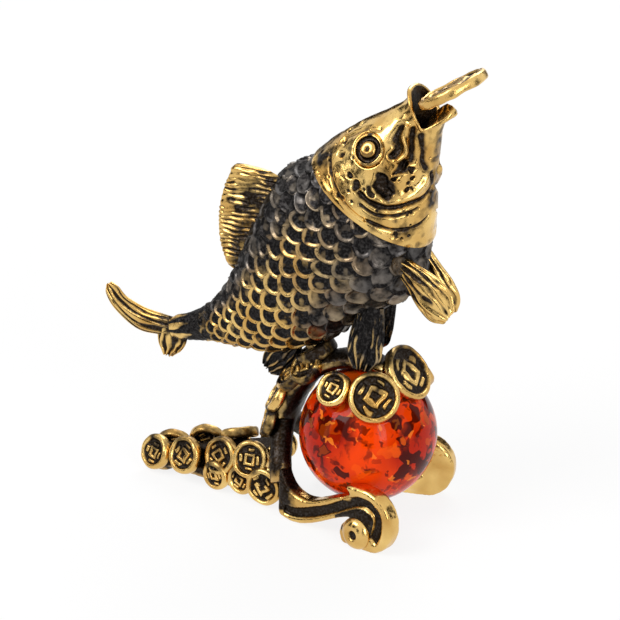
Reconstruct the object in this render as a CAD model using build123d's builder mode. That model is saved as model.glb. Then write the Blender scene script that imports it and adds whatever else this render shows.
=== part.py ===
from math import cos, hypot, radians, sin
import os

from build123d import *

os.makedirs("parts", exist_ok=True)

# Sizes in millimetres. X runs towards the head, Y to the fish's left, Z up from the table.
# The pieces are drawn about a point on the table under the amber ball, and moved at the end so that
# the origin lies on the table under the middle of the whole figurine.

# Amber ball
ball_diameter = 14.0
ball_centre_height = 9.0

# Fish: from the tail root to the lips
tail_root_back = 22.4
tail_root_height = 16.0
fish_run = 29.3
fish_rise = 30.0
body_depth = 16.0
body_width = 10.8

# Head cap
gill_lift = 0.9
neck_plug_length = 2.6
neck_plug_share = 0.72
mouth_depth = 3.0
lip_thickness = 0.55
eye_diameter = 4.0
eye_ring_width = 0.6
eye_ring_depth = 0.4
eye_stand_out = 0.25
pupil_diameter = 1.5
gill_groove_width = 0.3
gill_groove_depth = 0.3
gape_width = 6.0

# Scales
scale_width_middle = 2.25
scale_width_tail = 1.35
scale_growth_start = 2.0
scale_growth_length = 15.0
scale_column_share = 0.70
scale_setback_share = 0.10
scale_dish_share = 0.80
scale_dish_depth_share = 0.10
scales_from_tail = 9.0
scales_before_neck = 1.5

# Coins
coin_thickness = 1.0
coin_rim_width = 0.45
coin_recess = 0.3
coin_edge_radius = 0.2
coin_bedding = 0.3
mouth_coin_diameter = 7.5
mouth_coin_reach = 2.3
mouth_coin_lean = 31.0
seat_coin_diameter = 4.4

# Fins
fin_root_depth = 1.0
dorsal_length = 12.0
dorsal_height = 4.2
dorsal_thickness = 1.1
ray_groove_width = 0.35
ray_groove_depth = 0.18
tail_lobe_thickness = 1.0
upper_lobe_width = 2.7
lower_lobe_width = 3.2
pectoral_length = 7.2
pectoral_width = 4.2
pelvic_length = 6.4
pelvic_width = 3.4
anal_length = 4.2
anal_width = 3.2
paddle_thickness = 1.0

# Dowel through ball, arch, seat coin and belly
dowel_diameter = 1.4
dowel_angle = 127.0
dowel_in_ball = 3.0
dowel_in_fish = 2.6

# Arch over the ball
arch_top_thickness = 1.6
arch_top_width = 3.4
arch_rear_gap = 1.0
leg_width = 2.2
leg_spread = 4.3
leg_foot_back = 7.6
leg_foot_height = 3.6

# Wave scrolls
scroll_length = 15.0
scroll_height = 6.4
scroll_thickness = 1.6
scroll_splay = 13.0
scroll_toe_forward = 3.34
scroll_toe_out = 7.7
left_scroll_setback = 0.8
volute_radius = 3.05
channel_width = 1.25
channel_depth = 0.55
boss_diameter = 2.7
boss_stand_out = 0.35
boss_dimple_diameter = 0.9
foot_flat_depth = 0.12

# Trail under the drift of coins
trail_front_back = 10.2
trail_length = 15.0
trail_half_width = 2.9
trail_height = 5.8
trail_lift = 0.5
trail_tip_share = 0.24
heel_diameter = 2.2
heel_inset = 1.6

ball_radius = ball_diameter / 2
ball_middle = Vector(0, 0, ball_centre_height)
left_side = Vector(0, 1, 0)
trail_way = Vector(-1, 0, 0)


def heading(lean):
    """Unit vector in the fish's middle plane, leaning up from X."""
    return Vector(cos(radians(lean)), 0, sin(radians(lean)))


def upright(lean):
    """Unit vector square to a heading, towards the back of the fish."""
    return heading(lean + 90)


def biggest(part):
    """The main solid, without the crumbs that a cut can leave."""
    return part.solids().sort_by(SortBy.VOLUME)[-1]


# Fish stations
# Each row: share of the run, share of the rise, lean in degrees, share of the depth, share of the width
body_station_shares = [
    (0.000, 0.000, 12, 0.150, 0.17),
    (0.120, 0.033, 17, 0.215, 0.24),
    (0.234, 0.080, 22, 0.370, 0.41),
    (0.335, 0.135, 30, 0.590, 0.62),
    (0.449, 0.243, 38, 0.800, 0.84),
    (0.597, 0.410, 47, 0.985, 1.00),
    (0.780, 0.617, 58, 0.820, 0.93),
]
head_station_shares = [
    (0.780, 0.617, 58, 0.820, 0.93),
    (0.815, 0.690, 59, 0.760, 0.89),
    (0.862, 0.785, 60, 0.610, 0.76),
    (0.928, 0.890, 62, 0.375, 0.50),
    (0.968, 0.950, 63, 0.275, 0.40),
    (1.000, 1.000, 63, 0.290, 0.42),
]


def fish_place(run_share, rise_share):
    """Point of the fish's middle line."""
    return Vector(-tail_root_back + run_share * fish_run, 0, tail_root_height + rise_share * fish_rise)


def fish_plane(station):
    """Plane of a station: its x is the fish's left, its y the fish's back."""
    run_share, rise_share, lean, depth_share, width_share = station
    return Plane(origin=fish_place(run_share, rise_share), x_dir=left_side, z_dir=heading(lean))


def station_radii(station, growth=0):
    """Half the width and half the depth of a station."""
    depth_share, width_share = station[3:]
    return body_width * width_share / 2 + growth, body_depth * depth_share / 2 + growth


neck_station = body_station_shares[-1]
neck_plane = fish_plane(neck_station)
lip_station = head_station_shares[-1]
lip_plane = fish_plane(lip_station)
brow_station = head_station_shares[2]
brow_plane = fish_plane(brow_station)


# Arch
# Each row: angle round the ball from the front, share of the rear gap to the ball,
# share of the top thickness, share of the top width
arch_station_shares = [
    (74, 0.15, 0.75, 0.70),
    (90, 0.15, 1.00, 1.00),
    (125, 0.25, 1.15, 1.15),
    (155, 0.40, 1.35, 1.25),
    (178, 1.00, 1.50, 1.30),
]


def arch_station(angle):
    """Centre, half thickness and half width of the arch at an angle, between its rows."""
    rows = arch_station_shares
    for row, next_row in zip(rows, rows[1:]):
        if angle <= next_row[0] or next_row is rows[-1]:
            part_way = (angle - row[0]) / (next_row[0] - row[0])
            mixed = [start + (end - start) * part_way for start, end in zip(row, next_row)]
            break
    gap_share, thick_share, wide_share = mixed[1:]
    half_thick = arch_top_thickness * thick_share / 2
    centre = ball_middle + heading(angle) * (ball_radius + arch_rear_gap * gap_share + half_thick)
    return centre, half_thick, arch_top_width * wide_share / 2


def arch_seat(angle, roll):
    """Point on the outside of the arch and the direction it faces; roll turns towards the right side."""
    centre, half_thick, half_wide = arch_station(angle)
    out_part = cos(radians(roll))
    side_part = sin(radians(roll))
    reach = hypot(half_thick * out_part, half_wide * side_part)
    outward = heading(angle)
    point = centre + outward * (half_thick**2 * out_part / reach) - left_side * (half_wide**2 * side_part / reach)
    return point, (outward * out_part - left_side * side_part).normalized()


# Trail: a tapering ridge with flat sides
# Each row: share of the half width, share of the height, from the right edge over the ridge to the left edge
trail_section_shares = [(-1, 0), (-1, 0.34), (-0.55, 0.88), (0, 1), (0.55, 0.88), (1, 0.34), (1, 0)]
trail_base = Vector(-trail_front_back, 0, trail_lift)
facets = {"side": (0, 1), "slope": (1, 2), "crown": (2, 3)}


def trail_point(corner, along_share):
    """Corner of the trail's section at a share of its length."""
    taper = 1 - (1 - trail_tip_share) * along_share
    width_share, height_share = trail_section_shares[corner]
    across = Vector(0, trail_half_width * width_share * taper, trail_height * height_share * taper)
    return trail_base + across + trail_way * (trail_length * along_share)


def trail_seat(facet, along_share, across_share):
    """Point on a right-hand facet of the trail, the direction it faces and its way to the tip."""
    low, high = facets[facet]
    low_point = trail_point(low, along_share)
    high_point = trail_point(high, along_share)
    point = low_point + (high_point - low_point) * across_share
    to_tip = (trail_point(low, 1) - trail_point(low, 0)).normalized()
    facing = (high_point - low_point).cross(to_tip).normalized()
    return point, facing * (-1 if facing.Y > 0 else 1), to_tip


# Dowel
dowel_line = heading(dowel_angle)
dowel_low = ball_middle + dowel_line * (ball_radius - dowel_in_ball)
arch_top_point = arch_seat(dowel_angle, 0)[0]
seat_coin_middle = arch_top_point + dowel_line * (coin_thickness / 2)
dowel_high = arch_top_point + dowel_line * (coin_thickness + dowel_in_fish)
dowel_length = (dowel_high - dowel_low).length

with BuildPart() as dowel_pin:
    with BuildSketch(Plane(origin=dowel_low, x_dir=left_side, z_dir=dowel_line)):
        Circle(dowel_diameter / 2)
    extrude(amount=dowel_length)

# Amber ball
with BuildPart() as amber_ball:
    with Locations(ball_middle):
        Sphere(ball_radius)
    add(dowel_pin.part, mode=Mode.SUBTRACT)

with BuildPart() as ball_space:
    with Locations(ball_middle):
        Sphere(ball_radius)


# Wave scrolls
# Each row: share of the scroll length back from the toe, share of the scroll height
scroll_top_shares = [
    (0.727, 0.86),
    (0.680, 0.62),
    (0.593, 0.48),
    (0.460, 0.47),
    (0.287, 0.65),
    (0.113, 0.90),
]
scroll_under_shares = [
    (0.105, 0.495),
    (0.175, 0.440),
    (0.287, 0.325),
    (0.460, 0.120),
    (0.633, 0.030),
    (0.735, 0.080),
]
channel_shares = [
    (0.700, 0.200),
    (0.633, 0.180),
    (0.460, 0.295),
    (0.283, 0.485),
    (0.110, 0.720),
    (-0.017, 0.790),
    (-0.103, 0.690),
    (-0.120, 0.450),
    (-0.080, 0.200),
]
crest_share = -0.02
curl_share = 0.03
curl_side_share = 0.197
curl_height_share = 0.15
curl_end_share = 0.125
curl_end_height_share = 0.385
boss_share = 0.05
boss_height_share = 0.255


def scroll_point(back_share, height_share):
    """Point of a scroll in its own plane."""
    return (-scroll_length * back_share, scroll_height * height_share)


def scroll_plane():
    """Outer face of the right scroll; its x runs to the toe and its y up."""
    splay = radians(scroll_splay)
    toe = Vector(scroll_toe_forward, -scroll_toe_out, 0)
    return Plane(origin=toe, x_dir=(cos(splay), -sin(splay), 0), z_dir=(-sin(splay), -cos(splay), 0))


outer_face = scroll_plane()
crest = scroll_point(crest_share, 1)
volute_front = (crest[0] + volute_radius, crest[1] - volute_radius)
sole = (scroll_point(curl_share, 0)[0], -foot_flat_depth)
curl = scroll_point(curl_side_share, curl_height_share)
curl_end = scroll_point(curl_end_share, curl_end_height_share)
scroll_tops = [scroll_point(*row) for row in scroll_top_shares] + [crest]
scroll_unders = [scroll_point(*row) for row in scroll_under_shares]
boss_place = scroll_point(boss_share, boss_height_share)
boss_radius = boss_diameter / 2
boss_sink = boss_radius - boss_stand_out

with BuildPart() as scroll_right:
    with BuildSketch(outer_face):
        with BuildLine():
            Spline(*scroll_tops, tangents=[(0.5, -1), (1, 0)])
            ThreePointArc(crest, volute_front, sole)
            ThreePointArc(sole, curl, curl_end)
            Line(curl_end, scroll_unders[0])
            Spline(*scroll_unders)
            Line(scroll_unders[-1], scroll_tops[0])
        make_face()
    extrude(amount=-scroll_thickness)
    with BuildSketch(outer_face):
        with BuildLine():
            Spline(*[scroll_point(*row) for row in channel_shares])
        trace(line_width=channel_width)
    extrude(amount=-channel_depth, mode=Mode.SUBTRACT)
    with Locations(outer_face):
        with Locations((*boss_place, -boss_sink)):
            Sphere(boss_radius)
        with Locations((*boss_place, boss_stand_out)):
            Sphere(boss_dimple_diameter / 2, mode=Mode.SUBTRACT)
    add(ball_space.part, mode=Mode.SUBTRACT)
    Box(4 * scroll_length, 4 * scroll_length, 2 * scroll_height, align=(Align.CENTER, Align.CENTER, Align.MAX),
        mode=Mode.SUBTRACT)

with BuildPart() as scroll_left:
    with Locations((-left_scroll_setback, 0, 0)):
        add(mirror(scroll_right.part, about=Plane.XZ, mode=Mode.PRIVATE))
    add(ball_space.part, mode=Mode.SUBTRACT)

# Arch with its two legs
shoulder_angle = arch_station_shares[-2][0]
hip_angle = arch_station_shares[-1][0]
shoulder = arch_station(shoulder_angle)[0]
hip = arch_station(hip_angle)[0]
leg_foot = Vector(-leg_foot_back, -leg_spread, leg_foot_height)
knee = (hip + leg_foot) / 2 - left_side * (leg_width / 3)
leg_stations = [
    (shoulder, upright(shoulder_angle)),
    (hip, Vector(0, -1, -3)),
    (knee, Vector(1, -2, -3)),
    (leg_foot, Vector(1, -1, -2)),
]

with BuildPart() as arch_leg:
    for place, way in leg_stations:
        with BuildSketch(Plane(origin=place, x_dir=left_side, z_dir=way)):
            Circle(leg_width / 2)
    loft()

with BuildPart() as arch:
    for angle, *shares in arch_station_shares:
        centre, half_thick, half_wide = arch_station(angle)
        with BuildSketch(Plane(origin=centre, x_dir=left_side, z_dir=upright(angle))):
            Ellipse(half_wide, half_thick)
    loft()
    add(arch_leg.part)
    add(mirror(arch_leg.part, about=Plane.XZ, mode=Mode.PRIVATE))
    add(dowel_pin.part, mode=Mode.SUBTRACT)
    for piece in [scroll_right.part, scroll_left.part]:
        add(piece, mode=Mode.SUBTRACT)

# Trail core with the heel that it stands on
with BuildPart() as trail_core:
    for along_share in (0, 1):
        corners = [trail_point(corner, along_share) for corner in range(len(trail_section_shares))]
        end_plane = Plane(origin=corners[0], x_dir=left_side, z_dir=trail_way)
        with BuildSketch(end_plane):
            with BuildLine():
                Polyline(*[end_plane.to_local_coords(corner) for corner in corners], close=True)
            make_face()
    loft(ruled=True)
    heel_back = trail_front_back + trail_length - heel_inset
    with BuildSketch(Plane(origin=(-heel_back, 0, 0))):
        Circle(heel_diameter / 2)
    extrude(amount=2 * trail_lift)
    for piece in [scroll_right.part, scroll_left.part, arch.part]:
        add(piece, mode=Mode.SUBTRACT)

# Fins
# Each row of a paddle: share of the length, share of the width, share of the thickness, share of the bend
paddle_section_shares = [
    (0.00, 0.42, 1.15, 0.00),
    (0.30, 0.72, 1.00, 0.10),
    (0.62, 1.00, 0.85, 0.40),
    (0.88, 0.86, 0.65, 0.80),
    (1.00, 0.50, 0.40, 1.00),
]


def paddle_fin(root, way, blade, length, width, thickness, bend):
    """Fin of flat oval sections from its root to a rounded tip, bent to one side."""
    with BuildPart() as fin:
        for along_share, width_share, thick_share, bend_share in paddle_section_shares:
            place = root + way * (length * along_share) + bend * bend_share
            with BuildSketch(Plane(origin=place, x_dir=blade, z_dir=way)):
                Ellipse(width * width_share / 2, thickness * thick_share / 2)
        loft()
    return fin


# Each row: share of the run, share of the rise, share of the body's half width, lean, turn to the side
pectoral_root_shares = (0.920, 0.437, 0.40)
pectoral_lean = -31
pectoral_turn = -8
pectoral_left_lean = -66
pectoral_left_turn = 0
pectoral_bend = 0.5
pelvic_root_shares = (0.800, 0.254, 0.28)
pelvic_lean = -94
pelvic_turn = -7
pelvic_left_lean = -108
pelvic_left_turn = -4
pelvic_bend = 0.4
anal_root_shares = (0.492, 0.030, 0)
anal_lean = -137
anal_bend = 0.3


def fin_way(lean, turn):
    """Direction of a fin from its lean in the middle plane and its turn to the fish's left."""
    return (heading(lean) * cos(radians(turn)) + left_side * sin(radians(turn))).normalized()


def fin_root(root_shares):
    """Root of a right-hand fin."""
    run_share, rise_share, side_share = root_shares
    return fish_place(run_share, rise_share) - left_side * (body_width / 2 * side_share)


pectoral_fin_right = paddle_fin(fin_root(pectoral_root_shares), fin_way(pectoral_lean, pectoral_turn),
                                upright(pectoral_lean), pectoral_length, pectoral_width, paddle_thickness,
                                left_side * -pectoral_bend)
pelvic_fin_right = paddle_fin(fin_root(pelvic_root_shares), fin_way(pelvic_lean, pelvic_turn),
                              upright(pelvic_lean), pelvic_length, pelvic_width, paddle_thickness,
                              left_side * -pelvic_bend)
anal_fin = paddle_fin(fin_root(anal_root_shares), fin_way(anal_lean, 0), upright(anal_lean),
                      anal_length, anal_width, paddle_thickness, heading(anal_lean) * anal_bend)

pectoral_left_twin = paddle_fin(fin_root(pectoral_root_shares), fin_way(pectoral_left_lean, pectoral_left_turn),
                                upright(pectoral_left_lean), pectoral_length, pectoral_width, paddle_thickness,
                                left_side * -pectoral_bend)
with BuildPart() as pectoral_fin_left:
    mirror(pectoral_left_twin.part, about=Plane.XZ)
pelvic_left_twin = paddle_fin(fin_root(pelvic_root_shares), fin_way(pelvic_left_lean, pelvic_left_turn),
                              upright(pelvic_left_lean), pelvic_length, pelvic_width, paddle_thickness,
                              left_side * -pelvic_bend)
with BuildPart() as pelvic_fin_left:
    mirror(pelvic_left_twin.part, about=Plane.XZ)

# Dorsal fin: outline from its front root to its rear root
# Each row: share of the length, share of the height
dorsal_front_shares = (0.405, 0.632)
dorsal_lean = 246
dorsal_outline_shares = [
    (0.00, 0.10),
    (0.05, 0.50),
    (0.12, 0.93),
    (0.24, 1.00),
    (0.40, 0.98),
    (0.65, 0.80),
    (0.86, 0.47),
    (1.00, 0.10),
]
ray_shares = [0.14, 0.25, 0.36, 0.47, 0.58, 0.69, 0.80]
dorsal_front = fish_place(*dorsal_front_shares)
dorsal_plane = Plane(origin=dorsal_front, x_dir=heading(dorsal_lean), z_dir=left_side)
dorsal_outline = [(dorsal_length * along, dorsal_height * up) for along, up in dorsal_outline_shares]

with BuildPart() as dorsal_fin:
    with BuildSketch(dorsal_plane):
        with BuildLine():
            Spline(*dorsal_outline)
            Polyline(dorsal_outline[-1], (dorsal_length, -fin_root_depth), (0, -fin_root_depth), dorsal_outline[0])
        make_face()
    extrude(amount=dorsal_thickness / 2, both=True)
    with Locations(dorsal_plane):
        for ray_share in ray_shares:
            for face in (-1, 1):
                with Locations((dorsal_length * ray_share, dorsal_height / 2, face * dorsal_thickness / 2)):
                    Box(ray_groove_width, 2 * dorsal_height, 2 * ray_groove_depth, mode=Mode.SUBTRACT)

# Tail fin: two lobes from the tail root
# Each row: share of the lobe reach, share of its rise, lean, share of the width, share of the thickness
upper_lobe_reach = 7.5
upper_lobe_rise = 3.3
lower_lobe_reach = 0.6
lower_lobe_drop = 3.3
upper_lobe_shares = [
    (-0.14, 0.02, 188, 0.42, 1.00),
    (0.20, 0.02, 180, 0.80, 1.00),
    (0.50, 0.14, 160, 1.00, 0.90),
    (0.80, 0.52, 142, 0.80, 0.75),
    (1.00, 1.00, 122, 0.28, 0.50),
]
lower_lobe_shares = [
    (-0.30, 0.00, 232, 0.44, 1.00),
    (0.25, 0.40, 248, 0.86, 0.90),
    (0.70, 0.76, 256, 0.95, 0.75),
    (1.00, 1.00, 260, 0.42, 0.50),
]
tail_root = fish_place(0, 0)

with BuildPart() as tail_fin:
    for reach_share, rise_share, lean, width_share, thick_share in upper_lobe_shares:
        place = tail_root + Vector(-upper_lobe_reach * reach_share, 0, upper_lobe_rise * rise_share)
        with BuildSketch(Plane(origin=place, x_dir=left_side, z_dir=heading(lean))):
            Ellipse(tail_lobe_thickness * thick_share / 2, upper_lobe_width * width_share / 2)
    loft()
    for reach_share, drop_share, lean, width_share, thick_share in lower_lobe_shares:
        place = tail_root + Vector(-lower_lobe_reach * reach_share, 0, -lower_lobe_drop * drop_share)
        with BuildSketch(Plane(origin=place, x_dir=left_side, z_dir=heading(lean))):
            Ellipse(tail_lobe_thickness * thick_share / 2, lower_lobe_width * width_share / 2)
    loft()


fins = {
    "dorsal_fin": dorsal_fin,
    "tail_fin": tail_fin,
    "pectoral_fin_right": pectoral_fin_right,
    "pectoral_fin_left": pectoral_fin_left,
    "pelvic_fin_right": pelvic_fin_right,
    "pelvic_fin_left": pelvic_fin_left,
    "anal_fin": anal_fin,
}

def boxes_meet(box, other):
    """Whether two bounding boxes reach into each other."""
    gaps = (max(box.min.X - other.max.X, other.min.X - box.max.X),
            max(box.min.Y - other.max.Y, other.min.Y - box.max.Y),
            max(box.min.Z - other.max.Z, other.min.Z - box.max.Z))
    return max(gaps) < 0


# Coins
def struck_coin(label, middle, facing, diameter, others=()):
    """Round coin with a raised rim and a sunk face, trimmed where it lies on other coins."""
    with BuildPart() as coin:
        with Locations(Plane(origin=middle, z_dir=facing)):
            Cylinder(radius=diameter / 2, height=coin_thickness)
        rims = coin.edges().filter_by(GeomType.CIRCLE)
        fillet(rims, radius=coin_edge_radius)
        with Locations(Plane(origin=middle + facing * (coin_thickness / 2), z_dir=facing)):
            Cylinder(radius=diameter / 2 - coin_rim_width, height=2 * coin_recess, mode=Mode.SUBTRACT)
        for other in others:
            if boxes_meet(coin.part.bounding_box(), other.bounding_box()):
                add(other, mode=Mode.SUBTRACT)
    main = biggest(coin.part)
    main.label = label
    return main


def tilted(facing, towards, tilt):
    """Turn a facing by a tilt in degrees towards another direction."""
    return (facing * cos(radians(tilt)) + towards * sin(radians(tilt))).normalized()



# Placed coins
coins = []
carriers = [ball_space.part, dowel_pin.part, arch.part, trail_core.part, scroll_right.part, scroll_left.part]
carriers += [fin.part for fin in fins.values()]

# Coins lying against the ball
# Each row: label, bearing and height of the place, bearing and height of the facing, stand-off, diameter
ball_coin_stand_off = 1.0
large_coin_diameter = 6.0
broad_coin_diameter = 5.3
small_coin_diameter = 3.8
ball_coin_rows = [
    ("ball_coin_front", 14, 60, -6, 36, large_coin_diameter),
    ("ball_coin_side", -57, 50, -61, 33, broad_coin_diameter),
    ("ball_coin_small", -107, 52, -104, 40, small_coin_diameter),
    ("ball_coin_rear", 62, 47, 66, 34, broad_coin_diameter),
]


def compass(bearing, height):
    """Unit vector from a bearing round Z and a height angle."""
    level = cos(radians(height))
    return Vector(level * cos(radians(bearing)), level * sin(radians(bearing)), sin(radians(height)))


for label, bearing, height, face_bearing, face_height, diameter in ball_coin_rows:
    middle = ball_middle + compass(bearing, height) * (ball_radius + ball_coin_stand_off)
    facing = compass(face_bearing, face_height)
    coins.append(struck_coin(label, middle, facing, diameter, coins + carriers))

# Coins down the arch
# Each row: label, angle round the ball, roll, tilt towards the tail of the arch, diameter
arch_coin_diameter = 3.9
arch_coin_rows = [
    ("arch_coin_1", 133, 38, -14, small_coin_diameter),
    ("arch_coin_2", 148, 20, -16, arch_coin_diameter),
    ("arch_coin_3", 165, 22, -16, arch_coin_diameter),
    ("arch_coin_4", 181, 26, -16, arch_coin_diameter),
    ("arch_coin_5", 142, -48, -14, small_coin_diameter),
    ("arch_coin_6", 164, -42, -14, arch_coin_diameter),
]
for label, angle, roll, tilt, diameter in arch_coin_rows:
    point, facing = arch_seat(angle, roll)
    turned = tilted(facing, upright(angle), tilt)
    middle = point + turned * (coin_thickness / 2 - coin_bedding)
    coins.append(struck_coin(label, middle, turned, diameter, coins + carriers))

# Coins on the trail
# Each row: label, side, facet, share of the trail length, share across the facet, lift as a share of
# the thickness, tilt towards the tip, diameter
trail_coin_diameter = 4.1
slim_coin_diameter = 3.2
seat_clearance = 0.02
right_hand = 1
left_hand = -1
trail_coin_rows = [
    ("trail_coin_1", right_hand, "slope", 0.09, 0.62, 0.5, -6, trail_coin_diameter),
    ("trail_coin_2", right_hand, "side", -0.03, 0.90, 0.0, -6, trail_coin_diameter),
    ("trail_coin_3", right_hand, "side", 0.17, 0.95, 0.0, 2, slim_coin_diameter),
    ("trail_coin_4", right_hand, "side", 0.38, 0.90, 0.0, 3, slim_coin_diameter),
    ("trail_coin_5", right_hand, "slope", 0.36, 0.68, 0.0, 3, trail_coin_diameter),
    ("trail_coin_6", right_hand, "slope", 0.64, 0.60, 0.3, 6, trail_coin_diameter),
    ("trail_coin_7", left_hand, "crown", 0.34, 0.10, 0.0, 4, trail_coin_diameter),
    ("trail_coin_8", left_hand, "slope", 0.60, 0.80, 0.0, 6, trail_coin_diameter),
    ("trail_coin_9", left_hand, "slope", 0.08, 0.55, 0.0, -4, trail_coin_diameter),
    ("trail_coin_10", left_hand, "side", 0.34, 1.00, 0.0, 3, small_coin_diameter),
    ("trail_coin_11", right_hand, "slope", 0.90, 0.70, 0.0, 8, small_coin_diameter),
    ("trail_coin_12", left_hand, "slope", 0.86, 0.50, 0.0, 8, small_coin_diameter),
]
for label, hand, facet, along_share, across_share, lift_share, tilt, diameter in trail_coin_rows:
    point, facing, to_tip = trail_seat(facet, along_share, across_share)
    turned = tilted(facing, to_tip, tilt)
    edge_rise = diameter / 2 * abs(sin(radians(tilt)))
    middle = point + facing * (coin_thickness / 2 + coin_thickness * lift_share + edge_rise + seat_clearance)
    if hand == left_hand:
        middle = Vector(middle.X, -middle.Y, middle.Z)
        turned = Vector(turned.X, -turned.Y, turned.Z)
    near = [piece for piece in carriers if piece is not trail_core.part]
    coins.append(struck_coin(label, middle, turned, diameter, coins + near))

seat_coin = struck_coin("seat_coin", seat_coin_middle, dowel_line, seat_coin_diameter, coins + carriers)
coins.append(seat_coin)



# Mouth coin
mouth_coin_way = heading(mouth_coin_lean)
mouth_coin_middle = lip_plane.origin + mouth_coin_way * mouth_coin_reach
mouth_coin = struck_coin("mouth_coin", mouth_coin_middle, upright(mouth_coin_lean), mouth_coin_diameter)


# Scales: shallow dishes in staggered columns down each flank
# Share of the half girth, from the middle of the flank, that the dishes reach
scale_girth_share = 0.86


def scale_width(length):
    """Width of a scale at a length from the tail root."""
    share = min(max((length - scale_growth_start) / scale_growth_length, 0), 1)
    return scale_width_tail + (scale_width_middle - scale_width_tail) * share * share * (3 - 2 * share)


def station_at(length):
    """Station at a length from the tail root, between its two neighbours."""
    gone = 0
    for near, far in zip(body_station_shares, body_station_shares[1:]):
        span = (fish_place(*far[:2]) - fish_place(*near[:2])).length
        if length <= gone + span:
            share = (length - gone) / span
            return [first + (second - first) * share for first, second in zip(near, far)]
        gone += span
    return list(far)


def girth_points(half_width, half_depth):
    """Turn in degrees and distance from the middle of the flank, up to the back."""
    distance = 0
    points = [(0, 0)]
    for turn in range(1, 91):
        start, end = radians(turn - 1), radians(turn)
        distance += hypot(half_width * (cos(end) - cos(start)), half_depth * (sin(end) - sin(start)))
        points.append((turn, distance))
    return points


def scale_dish(skin, station, turn, side, width):
    """Ball that dishes one scale, set on the skin of the body."""
    plane = fish_plane(station)
    half_width, half_depth = station_radii(station)
    across = left_side * (side * half_width * cos(radians(turn)))
    out = (across + plane.y_dir * (half_depth * sin(radians(turn)))).normalized()
    for point, facing in skin.find_intersection_points(Axis(plane.origin, out)):
        if (point - plane.origin).dot(out) > 0:
            outward = facing if facing.dot(out) > 0 else -facing
            half_dish = width * scale_dish_share / 2
            depth = width * scale_dish_depth_share
            radius = (half_dish ** 2 + depth ** 2) / (2 * depth)
            return Solid.make_sphere(radius).moved(Location(point + outward * (radius - depth)))
    return None


def scale_dishes(skin):
    """Balls for every scale from the tail to the neck, on both flanks."""
    fish_length = sum((fish_place(*far[:2]) - fish_place(*near[:2])).length
                      for near, far in zip(body_station_shares, body_station_shares[1:]))
    dishes = []
    length = 0
    column = 0
    while length < fish_length:
        width = scale_width(length)
        place = length - width * scale_setback_share
        if scales_from_tail < place < fish_length - scales_before_neck:
            station = station_at(place)
            girth = girth_points(*station_radii(station))
            reach = girth[-1][1] * scale_girth_share
            for row in range(-8, 9):
                distance = (row + column % 2 / 2) * width
                if abs(distance) < reach:
                    turn = next(turn for turn, gone in girth if gone >= abs(distance))
                    for side in (-1, 1):
                        dishes.append(scale_dish(skin, station, turn if distance > 0 else -turn, side, width))
        length += width * scale_column_share
        column += 1
    return [dish for dish in dishes if dish]


# Fish body with the plug that holds the head
neck_half_width, neck_half_depth = station_radii(neck_station)

with BuildPart() as neck_plug:
    with BuildSketch(neck_plane):
        Ellipse(neck_half_width * neck_plug_share, neck_half_depth * neck_plug_share)
    extrude(amount=neck_plug_length)

with BuildPart() as fish_body:
    for station in body_station_shares:
        with BuildSketch(fish_plane(station)):
            Ellipse(*station_radii(station))
    loft()
    skin = fish_body.faces().sort_by(SortBy.AREA)[-1]
    add(neck_plug.part)
    for fin in fins.values():
        add(fin.part, mode=Mode.SUBTRACT)
    for piece in coins + [dowel_pin.part, arch.part]:
        add(piece, mode=Mode.SUBTRACT)
    add(scale_dishes(skin), mode=Mode.SUBTRACT)

# Head cap: gill rim, eyes, lips and mouth
gill_lift_shares = {head_station_shares[0][0]: 0.75, head_station_shares[1][0]: 0.35}
lip_half_width, lip_half_depth = station_radii(lip_station)
eye_forward = 0.6
eye_up = 1.75
eye_out = 3.6
eye_forward_turn = 22.0
eye_up_turn = 15.0
eye_middle = brow_plane.origin + brow_plane.z_dir * eye_forward + brow_plane.y_dir * eye_up
eye_tilt = brow_plane.z_dir * sin(radians(eye_forward_turn)) + brow_plane.y_dir * sin(radians(eye_up_turn))
eye_planes = [Plane(origin=eye_middle + way * eye_out, x_dir=brow_plane.y_dir, z_dir=way + eye_tilt)
              for way in (-left_side, left_side)]

# Gape of the mouth, seen from the side
# Each row: share of the mouth's depth ahead of the lips, share of the lips' half depth above their middle
gape_outline_shares = [
    (-0.94, -0.41),
    (-0.57, 0.19),
    (-0.20, 0.56),
    (0.17, 0.80),
    (0.17, -0.70),
    (-0.20, -0.71),
    (-0.48, -0.66),
]
gape_plane = Plane(origin=lip_plane.origin, x_dir=lip_plane.z_dir, z_dir=-left_side)

# Grooves of the gill plate
# Share of the way from the gill edge to the next station
gill_groove_shares = [0.45, 0.95]
# Share of the head's half depth, above its middle, where the grooves end
gill_groove_top_share = 0.3


def gill_groove_station(share):
    """Plane, half width and half depth of the head at a groove of the gill plate."""
    rear, front = head_station_shares[:2]
    station = [first + (second - first) * share for first, second in zip(rear, front)]
    rear_growth, front_growth = (gill_lift * gill_lift_shares[row[0]] for row in (rear, front))
    return fish_plane(station), *station_radii(station, rear_growth + (front_growth - rear_growth) * share)


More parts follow.
